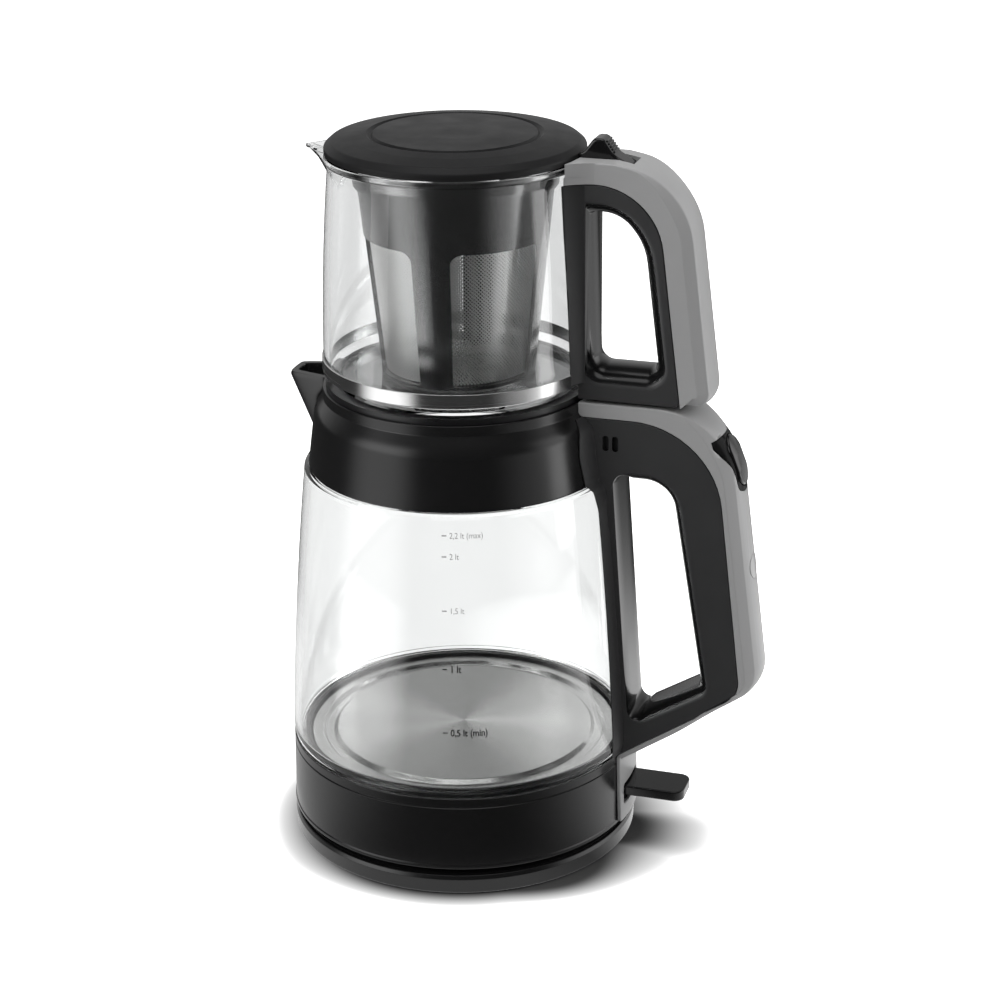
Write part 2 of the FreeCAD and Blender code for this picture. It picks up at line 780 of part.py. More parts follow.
def make_socket_contacts():
    top = base_top - shell_wall * 1.3 - move_gap * 2
    blades = []
    for number, shift in enumerate((-1, 0, 1)):
        middle = shift * socket_ring
        blades.append(block(f"contact_{number}", socket_radius * 1.6, screw_radius * 2, board_sheet / 2,
                            socket_bore * -3, middle - screw_radius, top - board_sheet / 2))
    group("socket_contacts", blades)


def make_cord_gland():
    body = new_body("cord_gland")
    depth = shell_wall + seat_gap * 2
    ring = new_sketch(body, "XZ_Plane", (seat_gap * 3 + base_radius) * -1)
    middle = [(0, base_top - base_height / 2)]
    draw_circles(ring, middle, cord_bore + shell_wall / 2)
    draw_circles(ring, middle, cord_bore)
    pad(body, ring, depth)
    publish("cord_gland", body)


# ---------------------------------------------------------------- kettle

def make_kettle_shell():
    inner = band_top_radius - shell_wall
    body = new_body("kettle_base_shell")
    line = band_top - band_line
    notch = seat_gap * 4
    revolve(body, [
        (inner, band_bottom),
        (band_foot_radius, band_bottom),
        (band_top_radius, line - notch),
        (band_top_radius - notch, line),
        (band_top_radius, line + notch),
        (band_top_radius, band_top),
        (band_top_radius - shell_wall, band_top),
        (band_top_radius - shell_wall, shelf_top),
        (plate_radius + plate_channel, shelf_top),
        (plate_radius + plate_channel, shelf_top - shelf_wall),
        (inner, shelf_top - shelf_wall),
    ])
    bosses = draw_circles(new_sketch(body, "XY_Plane", floor_top), around(boss_reach, 3, BAND_SCREWS_AT),
                          boss_radius)
    pad(body, bosses, shelf_top - shelf_wall / 2 - floor_top)
    holes = draw_circles(new_sketch(body, "XY_Plane", floor_top), around(boss_reach, 3, BAND_SCREWS_AT),
                         screw_radius + seat_gap / 2)
    pocket(body, holes, band_height / 3, reverse=True)
    mouth = new_sketch(body, "YZ_Plane", lever_pivot_reach)
    draw_outline(mouth, rectangle(lever_half + move_gap * 2, lever_slot_low, lever_slot_high))
    pocket(body, mouth, base_radius - lever_pivot_reach + shell_wall, reverse=True)
    publish("kettle_base_shell", body)


def rectangle(half, low, high):
    return [(-half, low), (half, low), (half, high), (-half, high)]


lever_slot_high = lever_pivot_z + lever_sheet / 2 + move_gap * 2
lever_swing = (band_foot_radius + tail_sheet - lever_pivot_reach) * math.tan(math.radians(lever_angle.value))
lever_slot_low = lever_pivot_z - lever_sheet / 2 - lever_swing - move_gap * 2


def make_kettle_floor():
    edge = band_top_radius - shell_wall - seat_gap
    well = socket_radius + kettle_gap / 3
    low = band_bottom + seat_gap
    body = new_body("kettle_bottom_plate")
    revolve(body, [
        (well, low),
        (edge - shell_wall * 2, low),
        (edge - shell_wall * 2, base_top + move_gap),
        (edge - shell_wall, base_top + move_gap),
        (edge - shell_wall, low),
        (edge, low),
        (edge, low + floor_plate),
        (well + shell_wall, low + floor_plate),
        (well + shell_wall, plug_seat),
        (well, plug_seat),
    ])
    ears = new_sketch(body, "XY_Plane", low)
    inner = lever_half + move_gap * 2
    for side in (-1, 1):
        near, far = sorted((side * inner, side * (inner + ear_sheet)), key=value_of)
        left, right = lever_pivot_reach - ear_sheet - pin_radius, lever_pivot_reach + ear_sheet + pin_radius
        draw_outline(ears, [(left, near), (right, near), (right, far), (left, far)])
    pad(body, ears, lever_pivot_z + ear_sheet + pin_radius - low)
    bores = draw_circles(new_sketch(body, "XZ_Plane"), [(lever_pivot_reach, lever_pivot_z)],
                         pin_radius + pin_gap / 4)
    pocket(body, bores, symmetric=True)
    heads = draw_circles(new_sketch(body, "XY_Plane", low), around(boss_reach, 3, BAND_SCREWS_AT),
                         screw_radius * 2 + seat_gap)
    pocket(body, heads, floor_plate / 2, reverse=True)
    holes = draw_circles(new_sketch(body, "XY_Plane", low), around(boss_reach, 3, BAND_SCREWS_AT),
                         screw_radius + seat_gap)
    pocket(body, holes, floor_plate, reverse=True)
    publish("kettle_bottom_plate", body)


def make_plug():
    """The kettle's half of the cordless connector: a plastic disc, and its pin and ring contacts."""
    rim_radius = socket_radius + kettle_gap / 3 + shell_wall
    low = plug_seat + seat_gap
    turned("kettle_plug", [(0, low), (rim_radius, low), (rim_radius, low + plug_height * 0.6),
                           (rim_radius * 0.7, low + plug_height * 0.6), (rim_radius * 0.7, low + plug_height),
                           (0, low + plug_height)])
    half_ring = screw_radius * 0.4
    tip = base_top + shell_wall
    body = new_body("plug_contacts")
    revolve(body, [(0, tip), (socket_bore * 0.6, tip), (socket_bore * 0.6, plug_seat), (0, plug_seat)])
    revolve(body, [(socket_ring - half_ring, tip), (socket_ring + half_ring, tip),
                   (socket_ring + half_ring, plug_seat), (socket_ring - half_ring, plug_seat)])
    publish("plug_contacts", body)


def make_heater():
    edge = band_top_radius - shell_wall - glass_wall - seal_wall - seat_gap * 3
    flat = plate_radius
    far = plate_radius + plate_channel
    low = plate_top - plate_sheet
    turned("heater_plate", [
        (0, low),
        (flat - seat_gap * 3, low),
        (flat + plate_dip, low - plate_dip),
        (far, low - plate_dip),
        (far + plate_dip, low - seat_gap * 12),
        (edge, low - seat_gap * 12),
        (edge, plate_top - seat_gap * 12),
        (edge - seat_gap * 10, plate_top - seat_gap * 2),
        (far + plate_dip, plate_top - seat_gap * 2),
        (far, plate_top - plate_dip),
        (flat + plate_dip, plate_top - plate_dip),
        (flat, plate_top),
        (0, plate_top),
    ])
    turned("plate_seal", [
        (far + plate_dip + seat_gap, shelf_top + seat_gap),
        (edge + seal_wall, shelf_top + seat_gap),
        (edge + seal_wall, band_top + seat_gap * 14),
        (edge + seat_gap, band_top + seat_gap * 14),
        (edge + seat_gap, low - seat_gap * 13),
        (far + plate_dip + seat_gap, low - seat_gap * 13),
    ])
    turned("heat_diffuser", [(0, low - seat_gap - diffuser_height),
                             (diffuser_radius, low - seat_gap - diffuser_height),
                             (diffuser_radius, low - seat_gap), (0, low - seat_gap)])
    ring = doc.addObject("Part::Torus", "element_ring")
    bind(ring, "Radius1", element_reach)
    bind(ring, "Radius2", element_radius)
    ring.Angle3 = ELEMENT_SWEEP
    level = low - seat_gap * 2 - diffuser_height - element_radius
    place(ring, 0.0, 0.0, level)
    stubs = []
    for number, angle in enumerate((0.0, float(ELEMENT_SWEEP))):
        turn = math.radians(angle)
        stubs.append(cylinder(f"element_pin_{number}", element_radius * 0.7, element_radius * 2.2,
                              element_reach * math.cos(turn), element_reach * math.sin(turn),
                              level - element_radius * 2.2))
    publish("heating_element", fuse("heating_element", [ring] + stubs))


def make_kettle_glass():
    foot = band_top_radius - shell_wall - seat_gap
    lift = shelf_drop * 2
    turned("kettle_glass", [
        (foot - glass_wall, shelf_top + seat_gap),
        (foot, shelf_top + seat_gap),
        (foot, band_top + seat_gap * 3),
        (band_top_radius, band_top + glass_wall),
        (band_top_radius, band_top + lift, glass_belly),
        (glass_top_radius, collar_bottom - seat_gap * 12),
        (glass_top_radius - seat_gap * 16, collar_bottom - seat_gap * 2),
        (glass_neck_radius, collar_bottom - seat_gap * 2),
        (glass_neck_radius, neck_top),
        (glass_neck_radius - glass_wall, neck_top),
        (glass_neck_radius - glass_wall, collar_bottom + seat_gap * 4),
        (glass_top_radius - glass_wall, collar_bottom - glass_wall, -glass_belly),
        (band_top_radius - glass_wall, band_top + lift),
        (band_top_radius - glass_wall, band_top + glass_wall * 1.4),
        (foot - glass_wall, band_top + seat_gap * 18),
    ])


def beak_section(level, half, reach, root_x):
    """One level of the spout: a V with a blunt tip, its root inside the collar."""
    blunt = spout_wall
    return [(-root_x, -half), (-root_x, half), (-reach, blunt), (-reach, -blunt)], level


def loft(body, kind, sections):
    sketches = []
    for points, level in sections:
        sketches.append(draw_outline(new_sketch(body, "XY_Plane", level), points))
    doc.recompute()
    before = body.Shape.Volume
    feature = body.newObject("PartDesign::" + kind, body.Name + "_" + kind.lower())
    feature.Profile = sketches[0]
    feature.Sections = sketches[1:]
    feature.Ruled = True
    body.Tip = feature
    doc.recompute()
    if abs(body.Shape.Volume - before) < TINY:
        raise ValueError(f"the loft in {body.Name} changed nothing")
    return feature


def make_collar():
    body = new_body("spout_collar")
    throat = glass_neck_radius + seat_gap * 2
    revolve(body, [
        (0, collar_bottom),
        (collar_foot_radius, collar_bottom),
        (collar_waist_radius, collar_waist, collar_bow),
        (collar_top_radius, collar_top),
        (0, collar_top),
    ])
    root_x = collar_mouth - spout_wall
    low = collar_top - spout_height
    loft(body, "AdditiveLoft", [
        beak_section(collar_top, spout_half, spout_reach, root_x),
        beak_section(low, spout_foot_half, collar_waist_radius + spout_wall * 0.4, root_x),
    ])
    dress(body, "Fillet", beak_tip_edge, spout_wall)
    turn_away(body, [
        (0, collar_bottom - seat_gap),
        (throat, collar_bottom - seat_gap),
        (throat, neck_top + shell_wall),
        (collar_mouth, neck_top + shell_wall),
        (collar_mouth, ring_seat),
        (collar_top_radius - edge_round, ring_seat),
        (collar_top_radius - edge_round, collar_top + seat_gap),
        (0, collar_top + seat_gap),
    ])
    loft(body, "SubtractiveLoft", [
        beak_section(collar_top + seat_gap, spout_half - spout_wall * 2.2, spout_reach - spout_wall * 1.6,
                     root_x),
        beak_section(low + spout_wall * 1.5, spout_foot_half - spout_wall,
                     collar_waist_radius - spout_wall, root_x),
    ])
    publish("spout_collar", body)
    turned("collar_seal", [
        (glass_neck_radius - glass_wall, neck_top + seat_gap),
        (glass_neck_radius, neck_top + seat_gap),
        (glass_neck_radius, neck_top + shell_wall - seat_gap),
        (glass_neck_radius - glass_wall, neck_top + shell_wall - seat_gap),
    ])


def beak_tip_edge(edge):
    """The two upright edges at the blunt tip of the spout."""
    start, end = edge.Vertexes[0].Point, edge.Vertexes[-1].Point
    tip = -spout_reach.value + TINY
    return abs(start.z - end.z) > 1 and min(start.x, end.x) < tip and abs(start.y) < spout_half.value / 3


def make_steam_ring():
    """The ring that the teapot stands on, with notches that let the steam reach the teapot's floor."""
    inner = collar_mouth + seat_gap * 3
    outer = collar_top_radius - edge_round - seat_gap
    top = ring_seat + ring_height
    body = new_body("steam_ring")
    revolve(body, [(inner, ring_seat + seat_gap), (outer, ring_seat + seat_gap), (outer, top), (inner, top)])
    notch = new_sketch(body, "YZ_Plane", inner - seat_gap)
    draw_outline(notch, rectangle(foot_radius / 2, top - ring_notch, top + seat_gap))
    first = pocket(body, notch, outer - inner + seat_gap * 2, reverse=True)
    pattern = body.newObject("PartDesign::PolarPattern", "steam_ring_notches")
    pattern.Originals = [first]
    pattern.Axis = (first.Profile[0], ["V_Axis"])
    pattern.Angle = 360
    pattern.Occurrences = 12
    body.Tip = pattern
    publish("steam_ring", body)


def handle_block(body, outline, rounds, width):
    """A block of the handle's width from an outline in XZ, with its corners rounded."""
    pad(body, draw_outline(new_sketch(body, "XZ_Plane"), outline), width, symmetric=True)
    for index, radius in rounds:
        dress(body, "Fillet", edge_along_y(outline[index]), radius)


def frame_room(name, outline, rounds):
    """The room inside a cover that the frame sits in."""
    room = new_body(name)
    handle_block(room, outline, rounds, handle_width * 2)
    return room


def cut_outline(body, outline, rounds, width=None):
    """Pockets an outline through the body, or over a middle width, and rounds its corners."""
    pocket(body, draw_outline(new_sketch(body, "XZ_Plane"), outline), width, symmetric=True)
    for index, radius in rounds:
        dress(body, "Fillet", edge_along_y(outline[index]), radius)


def pot_cutter(points, low, high):
    """Closes a run of (radius, height) points to the axis, for cutting a handle to the pot."""
    return [(0, low), (points[0][0], low)] + points + [(points[-1][0], high), (0, high)]


def make_kettle_frame():
    inner = handle_width - cover_wall * 2
    body = new_body("kettle_handle_frame")
    handle_block(body, kettle_frame, [(4, kettle_frame_bend), (3, kettle_frame_elbow)], handle_width)
    hollow = grown(kettle_frame, [
        (-edge_round, -cover_wall), (-edge_round, cover_wall), (0, cover_wall), (edge_round, edge_round),
        (edge_round, -cover_wall)])
    pocket(body, draw_outline(new_sketch(body, "XZ_Plane"), hollow), inner, symmetric=True)
    wall = grown(kettle_grip, [
        (-cover_wall, cover_wall), (-cover_wall, -cover_wall), (cover_wall, -cover_wall),
        (cover_wall, cover_wall)])
    pad(body, draw_outline(new_sketch(body, "XZ_Plane"), wall), handle_width - cover_wall, symmetric=True)
    cut_outline(body, kettle_grip, [(0, kettle_grip_corner), (1, kettle_grip_corner),
                                    (2, kettle_grip_corner), (3, kettle_grip_bend)])
    turn_away(body, pot_cutter(kettle_outside(seat_gap), band_bottom - kettle_gap, cover_top))
    vents = new_sketch(body, "XZ_Plane")
    middle = kettle_frame[0][1] - vent_drop
    for step in (-0.5, 0.5):
        centre = collar_waist_radius + vent_inset + vent_pitch * step
        left, right = centre - vent_width / 2, centre + vent_width / 2
        low, high = middle - vent_height / 2, middle + vent_height / 2
        bow = vent_width * 0.4
        draw_outline(vents, [(left, low, bow), (right, low), (right, high, bow), (left, high)])
    pocket(body, vents, symmetric=True)
    box = [kettle_grip[0][0] - 1, kettle_grip[2][0] + 1, kettle_grip[1][1] - 1, kettle_grip[0][1] + 1]
    dress(body, "Fillet", grip_rim(half_width, box), grip_round * 0.8)
    publish("kettle_handle_frame", body)


def grip_rim(offset, box):
    """A test for the rim edges of a finger opening on both sides of a handle."""
    side = edge_at_side(offset, box)
    low_x, high_x, low_z, high_z = (value_of(item) for item in box)

    def test(edge):
        bound = edge.BoundBox
        within = bound.XMin > low_x and bound.XMax < high_x and bound.ZMin > low_z and bound.ZMax < high_z
        return within and side(edge)

    return test


def cover_back_edge(nearest):
    """A test for the side edges of a cover that reach further out than nearest."""
    limit = value_of(nearest)
    side = edge_at_side(half_width)

    def test(edge):
        return side(edge) and edge.BoundBox.XMax > limit

    return test


back_slope = (kettle_elbow_reach - kettle_top_reach) / kettle_elbow_drop
slope_length = root(back_slope * back_slope + 1)
slope_x = 1 / slope_length
slope_z = back_slope / slope_length
back_angle = Dim(f"(90 - atan({back_slope.text}) / 1 deg)", 90 - math.degrees(math.atan(back_slope.value)))
bend_centre_x = kettle_top_reach + back_slope * kettle_top_bend - kettle_top_bend * slope_length
bend_centre_z = cover_top - kettle_top_bend
bend_share = 1 - root((1 + slope_z) / 2)       # rise of the handle's top bend over its chord, per radius
button_cos = Dim(f"cos({button_angle.text} * 1 deg)", math.cos(math.radians(button_angle.value)))
button_sin = Dim(f"sin({button_angle.text} * 1 deg)", math.sin(math.radians(button_angle.value)))
button_x = bend_centre_x + kettle_top_bend * button_cos
button_z = bend_centre_z + kettle_top_bend * button_sin
lens_z = cover_top - lens_drop
lens_x = kettle_top_reach + back_slope * lens_drop


def make_kettle_cover():
    inner = handle_width - cover_wall * 2
    body = new_body("kettle_cover_shell")
    handle_block(body, kettle_cover, [(4, kettle_top_bend), (3, kettle_elbow_bend)], handle_width)
    dress(body, "Chamfer", cover_back_edge(kettle_frame[4][0] + cover_wall / 2), cover_bevel)
    near = collar_foot_radius + kettle_grip_inset
    low = kettle_cover[3][1] + kettle_elbow_bend
    bend = kettle_top_bend - cover_wall
    cavity = [
        (kettle_frame[3][0] - kettle_frame_elbow, low),
        (kettle_top_reach + back_slope * (cover_top - low) - cover_wall * slope_length, low),
        (bend_centre_x + bend * slope_x, bend_centre_z + bend * slope_z, bend * bend_share),
        (bend_centre_x, cover_top - cover_wall),
        (near, cover_top - cover_wall),
        (near, kettle_frame[0][1] - edge_round),
    ]
    pocket(body, draw_outline(new_sketch(body, "XZ_Plane"), cavity), inner, symmetric=True)
    room = frame_room("kettle_frame_room", grown(kettle_frame, [
        (-edge_round, seat_gap), (-edge_round, -seat_gap), (0, -seat_gap), (seat_gap, -seat_gap),
        (seat_gap, seat_gap)]), [(4, kettle_frame_bend), (3, kettle_frame_elbow)])
    core = new_body("kettle_core")
    revolve(core, pot_cutter(kettle_outside(seat_gap), floor_gap, cover_top + seat_gap))
    cover = fuse("kettle_cover_body", [body, make_tail()])
    tools = [room, core, make_button_parts(), make_indicator()]
    publish("kettle_handle_cover", cut("kettle_handle_cover", cover, tools))


def make_tail():
    """The grey panel below the handle, wrapped on the kettle's band, that the switch lever passes through."""
    low = band_bottom + seat_gap
    high = band_top - seal_wall / 2
    body = new_body("tail_panel")
    strip = draw_outline(new_sketch(body, "XY_Plane", low), [
        (lever_pivot_reach, -tail_half), (base_radius + tail_sheet * 3, -tail_half),
        (base_radius + tail_sheet * 3, tail_half), (lever_pivot_reach, tail_half)])
    pad(body, strip, high - low)
    outside = base_radius * 2
    turn_away(body, [
        (band_foot_radius + tail_sheet, low - seat_gap), (outside, low - seat_gap),
        (outside, high + seat_gap), (band_top_radius + tail_sheet, high + seat_gap)])
    mouth = new_sketch(body, "YZ_Plane", lever_pivot_reach)
    draw_outline(mouth, rectangle(lever_half + move_gap * 2, lever_slot_low, lever_slot_high))
    pocket(body, mouth, base_radius - lever_pivot_reach + shell_wall * 2, reverse=True)
    return body


def capsule(name, length, width, height):
    """A block with round ends, standing on its own XY plane, long in X."""
    body = new_body(name)
    reach = (length - width) / 2
    half = width / 2
    near_full = half * 0.9999
    outline_points = [(-reach, -half), (reach, -half, near_full), (reach, half), (-reach, half, near_full)]
    pad(body, draw_outline(new_sketch(body, "XY_Plane"), outline_points), height)
    return body


def make_button_parts():
    """The push button, its opening, its switch and its board, each along the button's own axis."""
    turn = 90 - button_angle

    def along(item, distance):
        tilt(item, V(0, 1, 0), turn)
        place(item, button_x + distance * button_cos, 0.0, button_z + distance * button_sin)

    head = capsule("button_head", button_length, button_width, button_depth + button_proud * 2)
    along(head, -button_depth)
    bulge = cylinder("button_bulge", kettle_top_bend + button_proud, handle_width)
    tilt(bulge, V(1, 0, 0), 90.0)
    place(bulge, bend_centre_x, half_width, bend_centre_z)
    crown = doc.addObject("Part::Common", "button_crown")
    crown.Base = head
    crown.Tool = bulge
    flange = capsule("button_flange", button_length + cover_wall, button_width + cover_wall, board_sheet)
    along(flange, -button_depth - board_sheet)
    recess = cylinder("button_recess", switch_radius + move_gap, button_depth)
    along(recess, -button_depth - board_sheet * 2)
    publish("mode_button", cut("mode_button", fuse("button_body", [crown, flange]), [recess]))
    hole = capsule("button_hole", button_length + button_gap * 2, button_width + button_gap * 2,
                   kettle_margin_back * 3)
    along(hole, -button_depth)
    board_depth = button_depth + board_sheet + button_travel + move_gap
    board = new_body("button_board")
    outline_points = rectangle_around(button_length * 0.45, button_width * 0.55)
    pad(board, draw_outline(new_sketch(board, "XY_Plane"), outline_points), board_sheet)
    along(board, -board_depth - board_sheet)
    publish("button_board", board)
    post_height = board_depth - board_sheet * 2 - button_travel - move_gap * 2
    post = cylinder("button_switch", switch_radius, post_height)
    along(post, -board_depth + seat_gap)
    publish("button_switch", post)
    return hole


def rectangle_around(half_x, half_y):
    return [(-half_x, -half_y), (half_x, -half_y), (half_x, half_y), (-half_x, half_y)]


def make_indicator():
    """The round indicator lens in the back of the handle, and the small board behind it."""
    lens = cylinder("indicator_lens", lens_radius, cover_wall * 1.2)
    hole = cylinder("lens_hole", lens_radius + seat_gap, cover_wall * 4)
    board = cylinder("led_board", lens_radius * 1.1, board_sheet)

    def along(item, distance):
        tilt(item, V(0, 1, 0), back_angle)
        place(item, lens_x + distance * slope_x, 0.0, lens_z + distance * slope_z)

    along(lens, cover_wall * -1.2)
    along(hole, cover_wall * -1.3)
    along(board, -(cover_wall * 1.2 + board_sheet + seat_gap))
    publish("indicator_lens", lens)
    publish("led_board", board)
    return hole


def make_switch_block():
    low = floor_top
    height = (lever_pivot_z - low) * 1.3
    width = lever_half * 1.6
    length = element_reach / 3
    near = lever_pivot_reach - lever_sheet * 1.4 - length
    publish("switch_block", block("switch_block", length, width, height, near, width / -2, low))


def make_steam_switch():
    """The steam switch that shuts the heater off, across the handle just behind its vents."""
    length = handle_width - (cover_wall + seat_gap) * 2
    item = cylinder("steam_switch", vent_height, length)
    tilt(item, V(1, 0, 0), 90.0)
    place(item, collar_waist_radius + vent_inset, length / 2, kettle_frame[0][1] - vent_drop)
    publish("steam_switch", item)


def make_lever():
    """The on/off paddle and the pin that it rocks on."""
    body = new_body("switch_lever")
    low, high = lever_pivot_z - lever_sheet / 2, lever_pivot_z + lever_sheet / 2
    arm = [(lever_pivot_reach - lever_sheet, low), (lever_reach, low), (lever_reach, high),
           (lever_pivot_reach - lever_sheet, high)]
    pad(body, draw_outline(new_sketch(body, "XZ_Plane"), arm), lever_half * 2, symmetric=True)

    def tip_corner(edge):
        box = edge.BoundBox
        return box.ZLength > 1 and box.XMin > lever_reach.value - TINY and box.YLength < TINY

    dress(body, "Fillet", tip_corner, lever_corner)
    dress(body, "Fillet", lambda edge: edge.BoundBox.XMax > lever_reach.value - lever_corner.value
          and edge.BoundBox.ZLength < TINY, edge_round * 0.6)
    bore = draw_circles(new_sketch(body, "XZ_Plane"), [(lever_pivot_reach, lever_pivot_z)],
                        pin_radius + pin_gap)
    pocket(body, bore, symmetric=True)
    publish("switch_lever", body)
    length = (lever_half + move_gap * 2 + ear_sheet) * 2
    pin = cylinder("lever_pin", pin_radius, length)
    tilt(pin, V(1, 0, 0), 90.0)
    place(pin, lever_pivot_reach, length / 2, lever_pivot_z)
    publish("lever_pin", pin)


# ---------------------------------------------------------------- teapot

def make_teapot_glass():
    inner_foot = teapot_bottom + teapot_floor
    body = new_body("teapot_glass")
    ledge = rim - rim_ledge
    outside = teapot_outside(0)
    revolve(body, [(0, teapot_bottom)] + outside[:-1] + [
        (teapot_rim_radius, rim),
        (teapot_rim_radius - teapot_wall, rim),
        (teapot_rim_radius - teapot_wall, ledge),
        (teapot_neck_radius - teapot_wall, ledge),
        (teapot_neck_radius - teapot_wall, rim - teapot_neck_drop, -teapot_belly),
        (teapot_radius - teapot_wall, teapot_bottom + teapot_foot_bend * 2),
        (teapot_radius - teapot_wall, teapot_bottom + teapot_foot_bend, -(teapot_foot_bend * 0.2)),
        (teapot_foot_radius, inner_foot),
        (0, inner_foot),
    ])
    root_x = teapot_neck_radius - teapot_wall / 2
    top = rim - edge_round
    thin = teapot_wall * 0.7
    loft(body, "AdditiveLoft", [
        lip_section(top, lip_half, lip_reach, root_x),
        lip_section(top - lip_height, lip_half / 4, teapot_neck_radius + edge_round, root_x),
    ])
    loft(body, "SubtractiveLoft", [
        lip_section(rim + seat_gap, lip_half - thin, lip_reach - thin, root_x - teapot_wall),
        lip_section(top - lip_height * 0.8, lip_half / 4 - seat_gap * 8,
                    teapot_neck_radius - edge_round, root_x - teapot_wall),
    ])
    publish("teapot_glass", body)


def lip_section(level, half, reach, root_x):
    tip = half / 4
    return [(-root_x, -half), (-root_x, half), (-reach, tip), (-reach, -tip)], level


def make_metal_band():
    low = teapot_bottom + metal_band_lift + teapot_foot_bend * 0.4
    high = low + metal_band_height - teapot_foot_bend * 0.4
    inner = teapot_radius + seat_gap / 2
    turned("teapot_band", [(inner, low), (inner + metal_band_sheet, low), (inner + metal_band_sheet, high),
                           (inner, high)])


def make_teapot_frame():
    body = new_body("teapot_handle_frame")
    handle_block(body, teapot_frame, [], handle_width)
    saddle_reach = teapot_radius + saddle_sheet
    saddle = draw_outline(new_sketch(body, "XY_Plane", teapot_frame[1][1] + teapot_foot_bend), [
        (pot_side, saddle_width / -2), (saddle_reach, saddle_width / -2), (saddle_reach, saddle_width / 2),
        (pot_side, saddle_width / 2)])
    pad(body, saddle, teapot_frame[0][1] - teapot_frame[1][1] - teapot_foot_bend)
    low, high = teapot_frame[1][1] - seat_gap, teapot_cover_top + seat_gap
    cut_outline(body, teapot_grip, [(0, kettle_grip_corner), (1, kettle_grip_corner),
                                    (2, kettle_grip_corner), (3, teapot_grip_bend)])
    dress(body, "Fillet", edge_along_y(teapot_frame[3]), teapot_frame_bend)
    points = teapot_outside(seat_gap + metal_band_sheet)[1:]
    turn_away(body, pot_cutter(points, low, high))
    box = [teapot_grip[0][0] - 1, teapot_grip[2][0] + 1, teapot_grip[1][1] - 1, teapot_grip[0][1] + 1]
    dress(body, "Fillet", grip_rim(half_width, box), grip_round)
    publish("teapot_handle_frame", body)


def make_teapot_cover():
    inner = handle_width - cover_wall * 2
    body = new_body("teapot_cover_shell")
    handle_block(body, teapot_cover, [(3, teapot_top_bend), (2, teapot_foot_corner)], handle_width)
    dress(body, "Chamfer", cover_back_edge(teapot_frame[3][0] + cover_wall), cover_bevel)
    cavity = [
        (teapot_frame[3][0] - edge_round, teapot_frame[3][1] - teapot_top_bend),
        (teapot_frame[2][0] - edge_round, teapot_cover_foot + cover_wall * 2),
        (teapot_cover[2][0] - cover_wall * 1.5, teapot_cover_foot + cover_wall * 2),
        (teapot_cover[3][0] - cover_wall, teapot_cover_top - teapot_top_bend),
    ]
    pocket(body, draw_outline(new_sketch(body, "XZ_Plane"), cavity), inner, symmetric=True)
    gap = seat_gap + metal_band_sheet
    lid_room = lid_radius + move_gap * 2
    turn_away(body, pot_cutter(teapot_outside(gap)[1:-1] + [(lid_room, rim - edge_round)],
                               teapot_cover_foot - seat_gap, teapot_cover_top + seat_gap))
    slot = new_sketch(body, "XZ_Plane")
    floor = hinge_z - hinge_barrel - move_gap
    draw_outline(slot, [(pot_side, floor), (hinge_x + hinge_barrel + move_gap, floor),
                        (hinge_x + hinge_barrel + thumb_crest, teapot_cover_top + seat_gap),
                        (pot_side, teapot_cover_top + seat_gap)])
    pocket(body, slot, (thumb_half + move_gap) * 2, symmetric=True)
    bores = draw_circles(new_sketch(body, "XZ_Plane"), [(hinge_x, hinge_z)], pin_radius + pin_gap / 4)
    pocket(body, bores, (thumb_half + ear_sheet) * 2, symmetric=True)
    below = -(teapot_frame_lift * 2)
    room = frame_room("teapot_frame_room", grown(teapot_frame, [
        (-edge_round, seat_gap), (-edge_round, below), (seat_gap * 3, below), (seat_gap, seat_gap)]),
        [(3, teapot_frame_bend)])
    publish("teapot_handle_cover", cut("teapot_handle_cover", body, [room]))


def make_hinge_pin():
    length = (thumb_half + ear_sheet) * 2 - seat_gap * 2
    pin = cylinder("hinge_pin", pin_radius, length)
    tilt(pin, V(1, 0, 0), 90.0)
    place(pin, hinge_x, length / 2, hinge_z)
    publish("hinge_pin", pin)


def make_infuser():
    flange_low = rim - rim_ledge + seat_gap
    foot = teapot_bottom + teapot_floor + infuser_clear
    outer = teapot_rim_radius - teapot_wall - seat_gap * 3
    wall = infuser_wall
    body = new_body("infuser_frame")
    revolve(body, [
        (infuser_foot_radius - wall * 3, foot),
        (infuser_foot_radius, foot),
        (infuser_top_radius, flange_low),
        (outer, flange_low),
        (outer, flange_low + infuser_flange),
        (infuser_top_radius - wall, flange_low + infuser_flange),
        (infuser_foot_radius - wall, foot + wall),
        (infuser_foot_radius - wall * 3, foot + wall),
    ])
    low = foot + infuser_foot_ring
    high = flange_low - infuser_skirt
    opening = [(-window_foot_half, low), (window_foot_half, low), (window_half, high), (-window_half, high)]
    for plane in ("XZ_Plane", "YZ_Plane"):
        pocket(body, draw_outline(new_sketch(body, plane), opening), symmetric=True)
    dress(body, "Fillet", window_corner(low, high), window_round)
    tilt(body, V(0, 0, 1), infuser_turn)
    publish("infuser_frame", body)
    mesh = mesh_sheet
    rise = (infuser_top_radius - infuser_foot_radius) / (flange_low - foot)
    top = high + infuser_foot_ring
    inset = wall + seat_gap * 5
    foot_line = foot + wall + seat_gap
    foot_reach = infuser_foot_radius - inset + rise * (foot_line - foot)
    top_reach = infuser_foot_radius - inset + rise * (top - foot)
    turned("infuser_mesh", [
        (0, foot_line),
        (foot_reach, foot_line),
        (top_reach, top),
        (top_reach - mesh, top),
        (foot_reach - mesh, foot_line + mesh),
        (0, foot_line + mesh),
    ])


def window_corner(low, high):
    """A test for the edges through the wall at the corners of the infuser's windows."""
    levels = (low.value, high.value)
    limit = infuser_wall.value * 3

    def test(edge):
        box = edge.BoundBox
        straight = isinstance(edge.Curve, Part.Line)
        at_level = any(abs(box.ZMin - level) < TINY and box.ZLength < TINY for level in levels)
        return straight and at_level and edge.Length < limit

    return test


